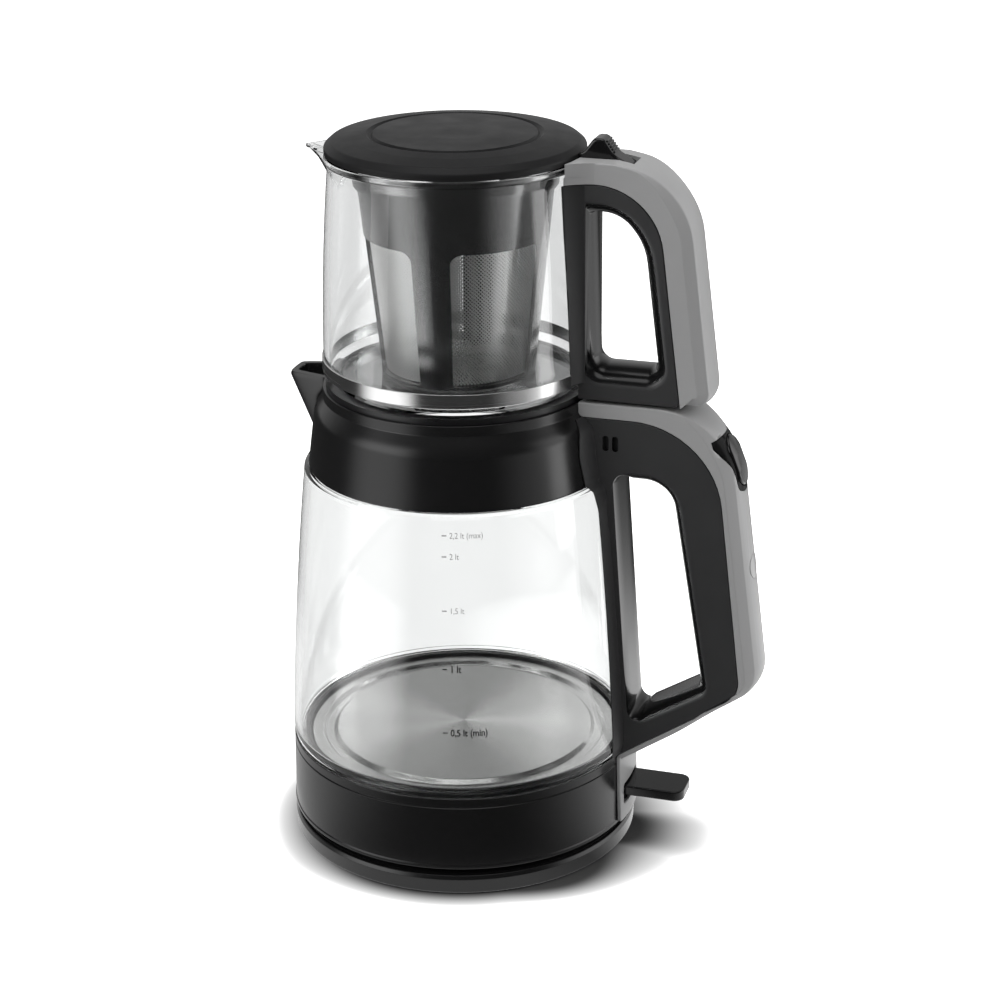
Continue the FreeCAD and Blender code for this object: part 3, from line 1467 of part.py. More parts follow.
# ---------------------------------------------------------------- lid

def make_lid():
    body = new_body("lid_cover")
    side_top = lid_bottom + lid_side
    shoulder = lid_bottom + lid_side + lid_shoulder * 0.75
    ring_level = lid_top - lid_ring_depth
    ring_in = lid_ring_radius - lid_ring_width
    liner_room = lid_bottom + liner_sheet + seat_gap * 2
    revolve(body, [
        (lid_radius - lid_sheet, lid_bottom),
        (lid_radius, lid_bottom),
        (lid_radius, side_top, lid_shoulder * 0.24),
        (lid_radius - lid_shoulder, shoulder, seat_gap * 6),
        (lid_ring_radius + seat_gap * 4, lid_top - seat_gap * 4),
        (lid_ring_radius - lid_ring_width * 0.3, ring_level),
        (ring_in + lid_ring_width * 0.3, ring_level),
        (ring_in, lid_top - seat_gap * 4),
        (ring_in / 2, lid_top),
        (0, lid_top),
        (0, lid_top - lid_sheet),
        (lid_ring_radius, lid_top - lid_sheet - lid_ring_depth),
        (lid_radius - lid_sheet * 2, liner_room),
        (lid_radius - lid_sheet, liner_room),
    ])
    x, z = hinge_x, hinge_z
    lever = [
        (lid_radius - lid_sheet * 0.6, lid_bottom + seat_gap),
        (lid_radius - lid_sheet * 0.6, side_top),
        (lid_radius + seat_gap * 12, side_top + lid_gap * 2),
        (x - thumb_peak - thumb_crest / 2, rim + thumb_height),
        (x - thumb_peak + thumb_crest / 2, rim + thumb_height),
        (x + hinge_barrel, z + hinge_barrel * 0.4),
        (x + hinge_barrel, z - hinge_barrel),
        (x - hinge_barrel, z - hinge_barrel),
        (x - thumb_peak - hinge_barrel, lid_bottom + seat_gap),
    ]
    pad(body, draw_outline(new_sketch(body, "XZ_Plane"), lever), thumb_half * 2, symmetric=True)
    dress(body, "Fillet", edge_along_y(lever[3], lever[4]), hinge_barrel)
    dress(body, "Fillet", edge_along_y(lever[6]), hinge_barrel * 0.9)
    bore = draw_circles(new_sketch(body, "XZ_Plane"), [(x, z)], pin_radius + pin_gap)
    pocket(body, bore, thumb_half * 3, symmetric=True)
    publish("lid_cover", body)
    ring_out = teapot_rim_radius - teapot_wall - seat_gap * 14
    low = rim - rim_ledge + seat_gap + infuser_flange + move_gap * 2
    turned("lid_liner", [
        (0, lid_bottom + seat_gap),
        (ring_out - liner_sheet, lid_bottom + seat_gap),
        (ring_out - liner_sheet, low),
        (ring_out, low),
        (ring_out, lid_bottom + seat_gap),
        (lid_radius - lid_sheet - seat_gap, lid_bottom + seat_gap),
        (lid_radius - lid_sheet - seat_gap, lid_bottom + seat_gap + liner_sheet),
        (0, lid_bottom + seat_gap + liner_sheet),
    ])


# ---------------------------------------------------------------- assembly

make_base_shell()
make_base_plate()
make_base_feet()
screws("base_screws", screw_reach, BASE_SCREWS_AT, floor_gap, base_plate / 2 - seat_gap,
       base_height - shell_wall)
make_socket()
make_socket_contacts()
make_cord_gland()

make_kettle_shell()
make_kettle_floor()
screws("kettle_screws", boss_reach, BAND_SCREWS_AT, band_bottom + seat_gap, floor_plate / 2 - seat_gap,
       band_height / 3)
make_plug()
make_heater()
make_kettle_glass()
make_collar()
make_steam_ring()
make_kettle_frame()
make_kettle_cover()
make_switch_block()
make_steam_switch()
make_lever()

make_teapot_glass()
make_metal_band()
make_teapot_frame()
make_teapot_cover()
make_hinge_pin()
make_infuser()
make_lid()

# ---------------------------------------------------------------- checks and files

doc.recompute()
for item in doc.Objects:
    if "Invalid" in item.State or "Error" in item.State:
        raise ValueError(f"{item.Name} did not recompute: {item.State}")
os.makedirs("parts", exist_ok=True)
for label, item in made.items():
    shape = item.Shape
    if shape.isNull() or not shape.isValid():
        raise ValueError(f"{label} has no valid shape")
    print(f"{label}: {len(shape.Solids)} solid(s), {shape.Volume / 1000:.2f} cm3")
for label, item in made.items():
    item.Shape.exportStep(f"parts/{label}.step")
print(len(made), "sub-parts written")
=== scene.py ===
import json
import math

import bmesh
import bpy
import numpy as np
from mathutils import Matrix, Vector
from mathutils.geometry import tessellate_polygon


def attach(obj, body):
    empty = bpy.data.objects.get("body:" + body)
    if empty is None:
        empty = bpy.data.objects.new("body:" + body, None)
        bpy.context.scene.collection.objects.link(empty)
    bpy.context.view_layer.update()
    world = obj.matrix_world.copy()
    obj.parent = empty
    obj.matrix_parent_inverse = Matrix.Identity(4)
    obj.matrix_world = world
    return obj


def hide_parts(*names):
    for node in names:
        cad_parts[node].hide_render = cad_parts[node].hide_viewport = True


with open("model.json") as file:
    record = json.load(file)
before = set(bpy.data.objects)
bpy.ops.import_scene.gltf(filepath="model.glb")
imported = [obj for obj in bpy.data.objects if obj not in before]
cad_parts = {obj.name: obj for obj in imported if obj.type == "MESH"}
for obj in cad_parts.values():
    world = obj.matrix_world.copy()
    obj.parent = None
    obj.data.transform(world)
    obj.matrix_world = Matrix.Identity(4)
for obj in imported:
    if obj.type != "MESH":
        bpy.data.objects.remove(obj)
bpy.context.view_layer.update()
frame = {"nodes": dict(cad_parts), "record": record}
scene = bpy.context.scene
MM = 0.001
TAU = 2 * math.pi
SHARP = 34                      # degrees; edges that turn more stay sharp


# -------------------------------- outlines, all in millimetres

def bowed(a, b, bow):
    """Points of an arc from a to b that bows out by bow to the right of its direction."""
    a, b = np.array(a, float), np.array(b, float)
    chord = np.linalg.norm(b - a)
    along = (b - a) / chord
    right = np.array([along[1], -along[0]]) * math.copysign(1, bow)
    bow = abs(bow)
    radius = (chord * chord / 4 + bow * bow) / (2 * bow)
    half = math.asin(min(1, chord / 2 / radius))
    turns = [-half + 2 * half * k / 32 for k in range(1, 32)]
    return [a + along * (chord / 2 + radius * math.sin(t)) + right * radius * (math.cos(t) - math.cos(half))
            for t in turns]


def rounded(before, here, after, radius, room):
    """Points of a corner's arc. room has the share of either side that the arc may take."""
    u, v = before - here, after - here
    lengths = np.linalg.norm(u), np.linalg.norm(v)
    u, v = u / lengths[0], v / lengths[1]
    angle = math.acos(max(-1, min(1, float(u @ v))))
    if angle > math.pi - 0.02:
        return [tuple(here)]
    reach = min(radius / math.tan(angle / 2), lengths[0] * room[0], lengths[1] * room[1])
    radius = reach * math.tan(angle / 2)
    centre = here + (u + v) / np.linalg.norm(u + v) * (radius / math.sin(angle / 2))
    start, end = here + u * reach - centre, here + v * reach - centre
    first = math.atan2(start[1], start[0])
    sweep = (math.atan2(end[1], end[0]) - first + math.pi) % TAU - math.pi
    steps = max(3, int(abs(sweep) / math.radians(6)))
    turns = [first + sweep * k / steps for k in range(steps + 1)]
    return [(centre[0] + radius * math.cos(t), centre[1] + radius * math.sin(t)) for t in turns]


def path(points, closed=True):
    """Samples an outline. A point is (x, y), (x, y, corner radius) or (x, y, corner radius, bow), where
    bow is how far the side that starts there bows out to the right of its direction."""
    raw = []
    for i, (x, y, *more) in enumerate(points):
        raw.append((x, y, more[0] if more else 0.0))
        if len(more) > 1:
            raw += [(*spot, 0.0) for spot in bowed((x, y), points[(i + 1) % len(points)][:2], more[1])]
    out = []
    last = len(raw) - 1
    for i, (x, y, radius) in enumerate(raw):
        if radius <= 0 or (not closed and i in (0, last)):
            out.append((x, y))
            continue
        sides = raw[i - 1], raw[(i + 1) % len(raw)]
        room = [0.499 if side[2] > 0 else 0.98 for side in sides]
        out += rounded(np.array(sides[0][:2]), np.array([x, y]), np.array(sides[1][:2]), radius, room)
    return np.array(out)


def resample(loop, count):
    """Evenly spaced points round a closed loop, starting at its first point."""
    ends = np.vstack([loop, loop[:1]])
    along = np.concatenate([[0], np.cumsum(np.linalg.norm(np.diff(ends, axis=0), axis=1))])
    wanted = np.linspace(0, along[-1], count, endpoint=False)
    return np.stack([np.interp(wanted, along, values) for values in ends.T], axis=1)


def thicken(loop, longest=4.0, closed=True):
    """Adds points on the long sides of a loop, or of an open run."""
    out = []
    for p, q in zip(loop, np.roll(loop, -1, axis=0) if closed else loop[1:]):
        parts = max(1, math.ceil(np.linalg.norm(q - p) / longest))
        out += [p + (q - p) * k / parts for k in range(parts)]
    return np.array(out if closed else out + [loop[-1]])


def outward(loop):
    """Directions out of an anticlockwise loop, long enough that a unit step moves each side by one."""
    normals = []
    for side in (loop - np.roll(loop, 1, axis=0), np.roll(loop, -1, axis=0) - loop):
        side = side / np.maximum(np.linalg.norm(side, axis=1, keepdims=True), 1e-9)
        normals.append(np.stack([side[:, 1], -side[:, 0]], axis=1))
    mean = normals[0] + normals[1]
    mean /= np.maximum(np.linalg.norm(mean, axis=1, keepdims=True), 1e-9)
    return mean / np.clip((mean * normals[0]).sum(axis=1, keepdims=True), 0.4, 1)


def capsule(length, width, count=96):
    """Outline of a bar with round ends, long in x, anticlockwise."""
    r, reach = width / 2, (length - width) / 2
    turns = np.linspace(-math.pi / 2, math.pi / 2, count // 2)
    right = np.stack([reach + r * np.cos(turns), r * np.sin(turns)], axis=1)
    return np.vstack([right, -right])


def edge_rings(half, r, steps):
    """(inset, height) rings of a plate with both edges rounded by r."""
    turns = [math.pi / 2 * k / steps for k in range(steps + 1)]
    low = [(r * (1 - math.sin(t)), -half + r * (1 - math.cos(t))) for t in turns]
    return low + [(i, -h) for i, h in reversed(low)]


def ramp(x, low, high):
    """0 to 1 as x goes from low to high, smooth at both ends."""
    t = np.clip((x - low) / (high - low), 0, 1)
    return t * t * (3 - 2 * t)


def smooth_max(a, b, k):
    return (a + b + np.sqrt((a - b) ** 2 + k * k)) / 2


def smooth_min(a, b, k):
    return -smooth_max(-a, -b, k)


# -------------------------------- meshes

def linked(name, data):
    obj = bpy.data.objects.new(name, data)
    scene.collection.objects.link(obj)
    return obj


def raw_piece(name, verts, faces):
    """An object from points in millimetres."""
    mesh = bpy.data.meshes.new(name)
    mesh.from_pydata([(p[0] * MM, p[1] * MM, p[2] * MM) for p in verts], [], faces)
    return linked(name, mesh)


def tidy(obj, sharp=SHARP, flat=False):
    """Welds and shades a piece; flat also joins the faces that lie in one plane."""
    bm = bmesh.new()
    bm.from_mesh(obj.data)
    bmesh.ops.remove_doubles(bm, verts=bm.verts, dist=2e-6)
    bmesh.ops.dissolve_degenerate(bm, edges=bm.edges, dist=2e-6)
    if flat:
        bmesh.ops.dissolve_limit(bm, angle_limit=math.radians(0.2), verts=bm.verts, edges=bm.edges)
    bmesh.ops.delete(bm, geom=[v for v in bm.verts if not v.link_faces], context="VERTS")
    bmesh.ops.recalc_face_normals(bm, faces=bm.faces)
    bm.to_mesh(obj.data)
    bm.free()
    obj.data.shade_smooth()
    obj.data.set_sharp_from_angle(angle=math.radians(sharp))
    mod = obj.modifiers.new("normals", "WEIGHTED_NORMAL")
    mod.keep_sharp = True
    mod.weight = 60
    apply_modifiers(obj)
    return obj


def apply_modifiers(obj):
    graph = bpy.context.evaluated_depsgraph_get()
    graph.update()
    mesh = bpy.data.meshes.new_from_object(obj.evaluated_get(graph), preserve_all_data_layers=True,
                                           depsgraph=graph)
    obj.modifiers.clear()
    old = obj.data
    obj.data = mesh
    bpy.data.meshes.remove(old)


def row_faces(start, count, rows, closed=False):
    """Quads between rows of count points, the first row beginning at point start."""
    faces = []
    for k in range(rows if closed else rows - 1):
        a, b = start + k * count, start + (k + 1) % rows * count
        faces += [(a + i, a + (i + 1) % count, b + (i + 1) % count, b + i) for i in range(count)]
    return faces


def loops_mesh(name, loops, closed=True, cap=False, sharp=SHARP):
    """Joins a run of equally long point loops; closed also joins the last to the first."""
    count, rows = len(loops[0]), len(loops)
    verts = [tuple(p) for loop in loops for p in loop]
    faces = row_faces(0, count, rows, closed)
    if cap:
        faces += [tuple(range(count)), tuple(range((rows - 1) * count, rows * count))]
    return tidy(raw_piece(name, verts, faces), sharp)


def turn_loop(radius, z, angles):
    """Points round the Z axis; radius and z are numbers, or have a value for each angle."""
    height = np.broadcast_to(z, len(angles))
    return np.column_stack([radius * np.cos(angles), radius * np.sin(angles), height])


def lathe(name, points, segs=240):
    """Turns a closed outline of (radius, height) points about Z."""
    angles = np.linspace(0, TAU, segs, endpoint=False)
    return loops_mesh(name, [turn_loop(max(r, 0.0), z, angles) for r, z in path(points)])


def lying(p):
    """(x, y, height) as they are, for a plate that lies flat."""
    return p


def standing(p):
    """(x, z, depth) to the frame, for a plate that stands in the handles' plane."""
    return (p[0], p[2], p[1])


def plate(name, sides, place=standing, sharp=SHARP):
    """A solid between two faces. sides has its outline's rings, from one face to the other, and then those
    of its holes. A ring is (points, heights); place turns (x, y, height) into a point of the frame."""
    verts, faces, rims = [], [], []
    for rings in sides:
        start, count = len(verts), len(rings[0][0])
        for points, heights in rings:
            verts += [(p[0], p[1], h) for p, h in zip(points, np.broadcast_to(heights, count))]
        faces += row_faces(start, count, len(rings))
        rims.append([list(range(a, a + count)) for a in (start, len(verts) - count)])
    for edges in zip(*rims):
        flat = [i for edge in edges for i in edge]
        tris = tessellate_polygon([[Vector((verts[i][0], verts[i][1], 0)) for i in edge] for edge in edges])
        faces += [tuple(flat[i] for i in tri) for tri in tris]
    return tidy(raw_piece(name, [place(v) for v in verts], faces), sharp)


def slab(name, outline, rings, place=standing):
    """A plate from an anticlockwise outline; rings lists (inset, height) from one face to the other."""
    away = outward(outline)
    return plate(name, [[(outline - away * inset, height) for inset, height in rings]], place)


def framed(name, outer, inner, thick, place, steps, soft=0.0):
    """A curved sheet between an outer and an inner loop of equally many points; place maps
    (u, v, depth) to the frame. soft rounds both edges by that radius."""
    fractions = np.linspace(0, 1, steps + 1)

    def lift(loop, depth):
        return np.array([place((u, v, depth)) for u, v in loop])

    if soft:
        turns = np.radians([0, 30, 60, 90])
        depths = [thick - soft + soft * math.sin(t) for t in turns]
        away, inward = outward(outer), outward(inner)
        start, end = outer - away * soft, inner + inward * soft
        loops = [lift(outer + away * soft * (math.cos(t) - 1), depth) for t, depth in zip(turns, depths)]
        loops += [lift(start + (end - start) * f, thick) for f in fractions[1:-1]]
        loops += [lift(inner + inward * soft * (1 - math.cos(t)), depth)
                  for t, depth in reversed(list(zip(turns, depths)))]
    else:
        loops = [lift(outer + (inner - outer) * f, thick) for f in fractions]
    return loops_mesh(name, loops + [lift(outer + (inner - outer) * f, 0.0) for f in fractions[::-1]])


def domed(name, loop, low, top, place, edge):
    """A button: a closed loop with a straight side, a rounded edge and a curved top."""
    away = outward(loop)
    loops = [np.array([place((x, y, low)) for x, y in loop])]
    for t in np.linspace(0, math.pi / 2, 6):
        ring = loop - away * edge * (1 - math.cos(t))
        loops.append(np.array([place((x, y, top(x, y) - edge * (1 - math.sin(t)))) for x, y in ring]))
    for share in np.linspace(1, 0.02, 8)[1:]:
        ring = (loop - away * edge) * share
        loops.append(np.array([place((x, y, top(x, y))) for x, y in ring]))
    return loops_mesh(name, loops, closed=False, cap=True)


def boolean(obj, cutter, kind="DIFFERENCE", sharp=SHARP):
    mod = obj.modifiers.new("cut", "BOOLEAN")
    mod.operation = kind
    mod.solver = "EXACT"
    mod.object = cutter
    apply_modifiers(obj)
    bpy.data.objects.remove(cutter)
    return tidy(obj, sharp, flat=True)


def join(name, objs):
    """Several separate closed forms as one piece."""
    bm = bmesh.new()
    for obj in objs:
        bm.from_mesh(obj.data)
        bpy.data.objects.remove(obj)
    mesh = bpy.data.meshes.new(name)
    bm.to_mesh(mesh)
    bm.free()
    return tidy(linked(name, mesh))


def finer(run, step, fine_above=0.0):
    """A run of (radius, height) points with more heights: every step above fine_above, every 6 below."""
    out = []
    for (r0, z0), (r1, z1) in zip(run[:-1], run[1:]):
        parts = max(1, int(abs(z1 - z0) / (step if max(z0, z1) > fine_above else 6.0)))
        out += [(r0 + (r1 - r0) * k / parts, z0 + (z1 - z0) * k / parts) for k in range(parts)]
    return out + [tuple(run[-1])]


def bore(x, z, radius, start, end, segs=40):
    """A round cutter along Y, from start to end."""
    cutter = lathe("bore", [(0, start), (radius, start), (radius, end), (0, end)], segs)
    cutter.data.transform(Matrix.Translation((x * MM, 0, z * MM)) @ Matrix.Rotation(-math.pi / 2, 4, "X"))
    return cutter


# -------------------------------- shared sizes

HALF = 14.3                     # half the width of the handles
TABLE_GAP = 13.1                # height of the kettle's lowest edge
RIM_Z = 221.0                   # the collar's rim
PIN_BORE = 1.58                 # radius of the bores that the levers turn on
GLASS_LOW, GLASS_TOP = (81.5, 60.1), (72.1, 182.3)    # the kettle's glass, (radius, height)
GLASS_BOW = 0.9
VIEW_AT = 18.5                  # degrees that the viewer stands to the right of -Y
COLLAR = [(69.85, 184.4), (66.5, 210.0, 11), (62.25, 216.3, 1.2), (62.15, RIM_Z)]
KETTLE = [(82.55, TABLE_GAP), (81.65, 48.7), (81.65, 60.1, 0, GLASS_BOW), (72.25, 182.8), (69.95, 183.8)]
KETTLE += [(r + 0.1, *more) for r, *more in COLLAR]
TEAPOT = [(61.6, 228.0), (61.6, 238.0, 0, 0.8), (57.3, 321.3), (58.6, 327.1), (58.6, 328.4)]


def pot_solid(run, low, high, grow=0.0):
    """The room that a pot's outline takes, from height low to high, for cutting the handles to it."""
    run = [(r + grow, *more) for r, *more in run]
    return lathe("pot", [(0, low), (run[0][0], low), *run, (run[-1][0], high), (0, high)], segs=360)


# -------------------------------- material tools

MAT = {}
PAINTED_STAR_DARK = math.radians(108.5)      # the side of the turned plate where its painted star of highlight and shade is darkest


def feed(slot, value):
    """Sets an input's value, or links it to another node's output."""
    if isinstance(value, bpy.types.NodeSocket):
        slot.id_data.links.new(value, slot)
    else:
        slot.default_value = value


def node(tree, kind, **values):
    """A node. A value belongs to the input of its name, _ being a space there, or else to the setting."""
    item = tree.nodes.new(kind)
    for key, value in values.items():
        if key.replace("_", " ") in item.inputs:
            feed(item.inputs[key.replace("_", " ")], value)
        else:
            setattr(item, key, value)
    return item


def empty_tree(owner, kind="ShaderNodeOutputMaterial"):
    """A material's or world's tree with nothing but its output, and the output's input."""
    owner.use_nodes = True
    owner.node_tree.nodes.clear()
    return owner.node_tree, node(owner.node_tree, kind).inputs[0]


def maths(kind, *values):
    """The result of a Math node on sockets and numbers, taken from the left if there are more than two."""
    if len(values) > 2:
        return maths(kind, maths(kind, *values[:2]), *values[2:])
    tree = next(value.id_data for value in values if isinstance(value, bpy.types.NodeSocket))
    item = node(tree, "ShaderNodeMath", operation=kind)
    for slot, value in zip(item.inputs, values):
        feed(slot, value)
    return item.outputs[0]


def times(*values):
    return maths("MULTIPLY", *values)


def plus(*values):
    return maths("ADD", *values)


def most(*values):
    return maths("MAXIMUM", *values)


def vector_maths(kind, vector, other=None):
    """The result of a Vector Math node on a socket and, where the kind takes one, a constant vector."""
    item = node(vector.id_data, "ShaderNodeVectorMath", operation=kind)
    feed(item.inputs[0], vector)
    if other:
        feed(item.inputs[1], other)
    return item.outputs["Value" if kind in ("LENGTH", "DOT_PRODUCT") else "Vector"]


def remap(value, low, high, start, end, kind="LINEAR"):
    item = node(value.id_data, "ShaderNodeMapRange", interpolation_type=kind, From_Min=low, From_Max=high,
                To_Min=start, To_Max=end, Value=value)
    return item.outputs[0]


def ease(value, low, high, start=0.0, end=1.0):
    """start to end, with smooth ends, as value goes from low to high."""
    return remap(value, low, high, start, end, "SMOOTHSTEP")


def object_point(tree):
    return node(tree, "ShaderNodeTexCoord").outputs["Object"]


def xyz(vector):
    return node(vector.id_data, "ShaderNodeSeparateXYZ", Vector=vector).outputs


def clouds(vector, scale, detail):
    noise = node(vector.id_data, "ShaderNodeTexNoise", Scale=scale, Detail=detail, Vector=vector)
    return noise.outputs["Fac"]


def grey_of(value):
    """The grey of a number."""
    return node(value.id_data, "ShaderNodeCombineColor", Red=value, Green=value, Blue=value).outputs[0]


def tint(bsdf, color, level):
    """Gives a shader its colour, made lighter or darker by level."""
    mix = node(bsdf.id_data, "ShaderNodeVectorMath", operation="SCALE", Vector=color, Scale=level)
    feed(bsdf.inputs["Base Color"], mix.outputs[0])


def emboss(bsdf, height, strength, depth):
    """Gives a shader bumps, depth millimetres deep."""
    bump = node(bsdf.id_data, "ShaderNodeBump", Strength=strength, Distance=depth * MM, Height=height)
    feed(bsdf.inputs["Normal"], bump.outputs[0])


def material(name, color, rough, metal=0.0, spec=0.5, ior=1.47, clear=0.0, aniso=0.0, tone=None, smudge=None,
             grain=None):
    """Adds a Principled material and returns its shader. tone is (scale, spread) of its colour, smudge the
    same of its roughness, and grain (scale, strength, depth) of its bumps."""
    MAT[name] = bpy.data.materials.new(name)
    tree, surface = empty_tree(MAT[name])
    bsdf = node(tree, "ShaderNodeBsdfPrincipled", Base_Color=(*color, 1), Roughness=rough, Metallic=metal,
                Specular_IOR_Level=spec, IOR=ior, Transmission_Weight=clear, Anisotropic=aniso)
    feed(surface, bsdf.outputs[0])
    point = object_point(tree)
    if tone:
        tint(bsdf, color, remap(clouds(point, tone[0], 5.0), 0.0, 1.0, 1 - tone[1], 1 + tone[1]))
    if smudge:
        low, high = max(0.0, rough - smudge[1]), rough + smudge[1]
        feed(bsdf.inputs["Roughness"], remap(clouds(point, smudge[0], 6.0), 0.3, 0.7, low, high))
    if grain:
        emboss(bsdf, clouds(point, grain[0], 3.0), *grain[1:])
    return bsdf


def turned_steel(name, color, rough, flat):
    """Steel with fine scratches round the Z axis. flat is true for a plate that faces up, and then also
    paints a star of highlight and shade into its colour.
    """
    bsdf = material(name, color, rough, metal=1.0, aniso=0.85)
    tree = bsdf.id_data
    point = object_point(tree)
    x, y, z = xyz(point)
    across = vector_maths("LENGTH", vector_maths("MULTIPLY", point, (1, 1, 0))) if flat else z
    angle = maths("ARCTAN2", y, x)
    streak = node(tree, "ShaderNodeCombineXYZ", X=times(across, 5200.0), Y=times(angle, 0.3)).outputs[0]
    scratches = clouds(streak, 1.0, 4.0)
    feed(bsdf.inputs["Roughness"], remap(scratches, 0.0, 1.0, rough - 0.07, rough + 0.1))
    level = remap(scratches, 0.0, 1.0, 0.92, 1.06)
    if flat:
        # painted reflection: lighter and darker sectors in a star round the plate's middle stand in for the
        # highlights of its turned finish
        for turns, start, size in ((2, 1.5 * math.pi, 0.24), (1, math.pi, 0.1), (7, 0.4, 0.05)):
            painted_star_wave = maths("SINE", plus(times(angle, turns), start - turns * PAINTED_STAR_DARK))
            level = times(level, plus(times(painted_star_wave, size), 1.0))
    tint(bsdf, color, level)
    emboss(bsdf, scratches, 0.05, 0.03)
    feed(bsdf.inputs["Anisotropic Rotation"], 0.25)
    tangent = node(tree, "ShaderNodeTangent", direction_type="RADIAL", axis="Z")
    feed(bsdf.inputs["Tangent"], tangent.outputs[0])


def woven(name, color, wires=130.0, radius=0.036):
    """Fine steel cloth: crossed wires at 45 degrees with clear holes between them."""
    bsdf = material(name, color, 0.34, metal=1.0)
    x, y, z = xyz(object_point(bsdf.id_data))
    around, up = times(maths("ARCTAN2", y, x), wires), times(z, wires / radius)
    wire = most(maths("SINE", plus(around, up)), times(maths("SINE", maths("SUBTRACT", around, up)), 0.35))
    feed(bsdf.inputs["Alpha"], remap(wire, 0.2, 0.32, 0.0, 1.0))
    emboss(bsdf, wire, 0.6, 0.1)


# -------------------------------- materials

material("gloss_black", (0.0055, 0.0055, 0.0057), 0.1, tone=(35, 0.1), smudge=(60, 0.02),
         grain=(900, 0.03, 0.02))
material("satin_black", (0.007, 0.007, 0.0075), 0.3, spec=0.4, tone=(40, 0.1), smudge=(80, 0.04),
         grain=(1500, 0.06, 0.03))
material("matte_black", (0.01, 0.01, 0.0105), 0.52, spec=0.4, tone=(40, 0.12), smudge=(90, 0.06),
         grain=(1800, 0.14, 0.05))
material("collar_black", (0.0065, 0.0065, 0.0067), 0.24, tone=(35, 0.08), smudge=(60, 0.02),
         grain=(1200, 0.05, 0.02))
material("lid_charcoal", (0.01, 0.01, 0.0103), 0.42, spec=0.15, tone=(50, 0.08), smudge=(70, 0.05),
         grain=(2600, 0.22, 0.06))
material("cover_grey", (0.26, 0.26, 0.261), 0.36, spec=0.4, tone=(30, 0.025), smudge=(60, 0.04),
         grain=(2400, 0.1, 0.04))
material("rubber_black", (0.012, 0.012, 0.012), 0.7, spec=0.3, tone=(60, 0.15), smudge=(80, 0.06),
         grain=(1600, 0.2, 0.06))
material("seal_black", (0.016, 0.016, 0.017), 0.45, spec=0.4, tone=(60, 0.15), smudge=(80, 0.06))
material("infuser_black", (0.0045, 0.0045, 0.0047), 0.2, ior=2.4, tone=(35, 0.08))
material("button_black", (0.006, 0.006, 0.0062), 0.36, spec=0.07, tone=(35, 0.1))
material("lens_grey", (0.25, 0.25, 0.25), 0.22, tone=(60, 0.03), smudge=(90, 0.04))
material("board_green", (0.012, 0.06, 0.02), 0.4, tone=(60, 0.1), smudge=(80, 0.06))
material("tea_glass", (0.9, 0.905, 0.905), 0.0, clear=1.0)
material("clear_glass", (0.985, 0.992, 0.99), 0.0, clear=1.0)
turned_steel("brushed_plate", (0.36, 0.36, 0.356), 0.22, True)
turned_steel("brushed_band", (0.62, 0.62, 0.62), 0.22, False)
woven("mesh_steel", (0.8, 0.8, 0.79))
material("element_steel", (0.25, 0.24, 0.23), 0.4, metal=1.0, tone=(50, 0.15), smudge=(70, 0.1))
material("zinc_steel", (0.45, 0.45, 0.45), 0.3, metal=1.0, tone=(80, 0.1), smudge=(90, 0.08))
material("diffuser_aluminium", (0.6, 0.6, 0.61), 0.35, metal=1.0, tone=(60, 0.08), smudge=(70, 0.08))
material("brass_contact", (0.52, 0.36, 0.11), 0.28, metal=1.0, tone=(90, 0.1), smudge=(90, 0.07))

# the flat side faces of the handles are satin and lighter, their windows and edges glossy
bsdf = material("handle_black", (0.006, 0.006, 0.0062), 0.16, tone=(35, 0.1), smudge=(70, 0.03),
                grain=(1100, 0.04, 0.02))
aside = maths("ABSOLUTE", xyz(object_point(bsdf.id_data))[1])
side = ease(aside, (HALF - 0.6) * MM, (HALF - 0.1) * MM)
brightness = bsdf.inputs["Base Color"].links[0].from_node.inputs["Scale"]
feed(brightness, times(brightness.links[0].from_socket, plus(times(side, 2.8), 1.0)))
feed(bsdf.inputs["Roughness"], plus(bsdf.inputs["Roughness"].links[0].from_socket, times(side, 0.26)))

# the print on the glass grows lighter from its middle up
bsdf = material("print_black", (0.012, 0.012, 0.012), 0.5, spec=0.3, tone=(300, 0.1), smudge=(200, 0.08))
height = xyz(object_point(bsdf.id_data))[2]
feed(bsdf.inputs["Base Color"], grey_of(ease(height, 0.118, 0.13, 0.003, 0.3)))

slots = {s["node"]: s["material_slot"] for s in frame["record"]["subparts"]}
for name, obj in frame["nodes"].items():
    obj.data.materials.clear()
    obj.data.materials.append(MAT[slots[name]])


def dress(obj, body, finish, *nodes):
    """Gives a piece its body and its finish, and hides the CAD nodes that it stands for."""
    obj.data.materials.clear()
    obj.data.materials.append(MAT[finish])
    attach(obj, body)
    if nodes:
        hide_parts(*nodes)


# -------------------------------- power base

base = lathe("base_housing", [
    (79.4, 0.6), (82.0, 0.6, 0.8), (82.3, 7.6, 0.6), (81.5, 9.5, 0.7), (80.4, 9.5, 0.2), (80.0, 9.1, 0.2),
    (79.4, 9.5, 0.2), (17.3, 9.5), (17.3, 7.6), (79.4, 7.6)])
dress(boolean(base, bore(0, 5.35, 3.3, 60, 90, segs=48)), "power_base", "collar_black", "base_shell")

# -------------------------------- kettle band

band = lathe("kettle_band", [
    (79.1, TABLE_GAP), (82.4, TABLE_GAP, 0.5), (82.38, 14.6, 0.3), (82.0, 15.2, 0.3), (81.62, 43.8, 0.15),
    (81.1, 44.3, 0.1), (81.6, 44.8, 0.15), (81.5, 48.7, 0.35), (79.15, 48.7, 0.3), (79.1, 43), (66, 43),
    (66, 40.6), (79.1, 40.6)], segs=300)
mouth = slab("mouth", np.array([(60, -10.7), (95, -10.7), (95, 10.7), (60, 10.7)]), [(0, 21.6), (0, 30.6)],
             lying)
dress(boolean(band, mouth), "kettle", "collar_black", "kettle_base_shell")

# -------------------------------- heater

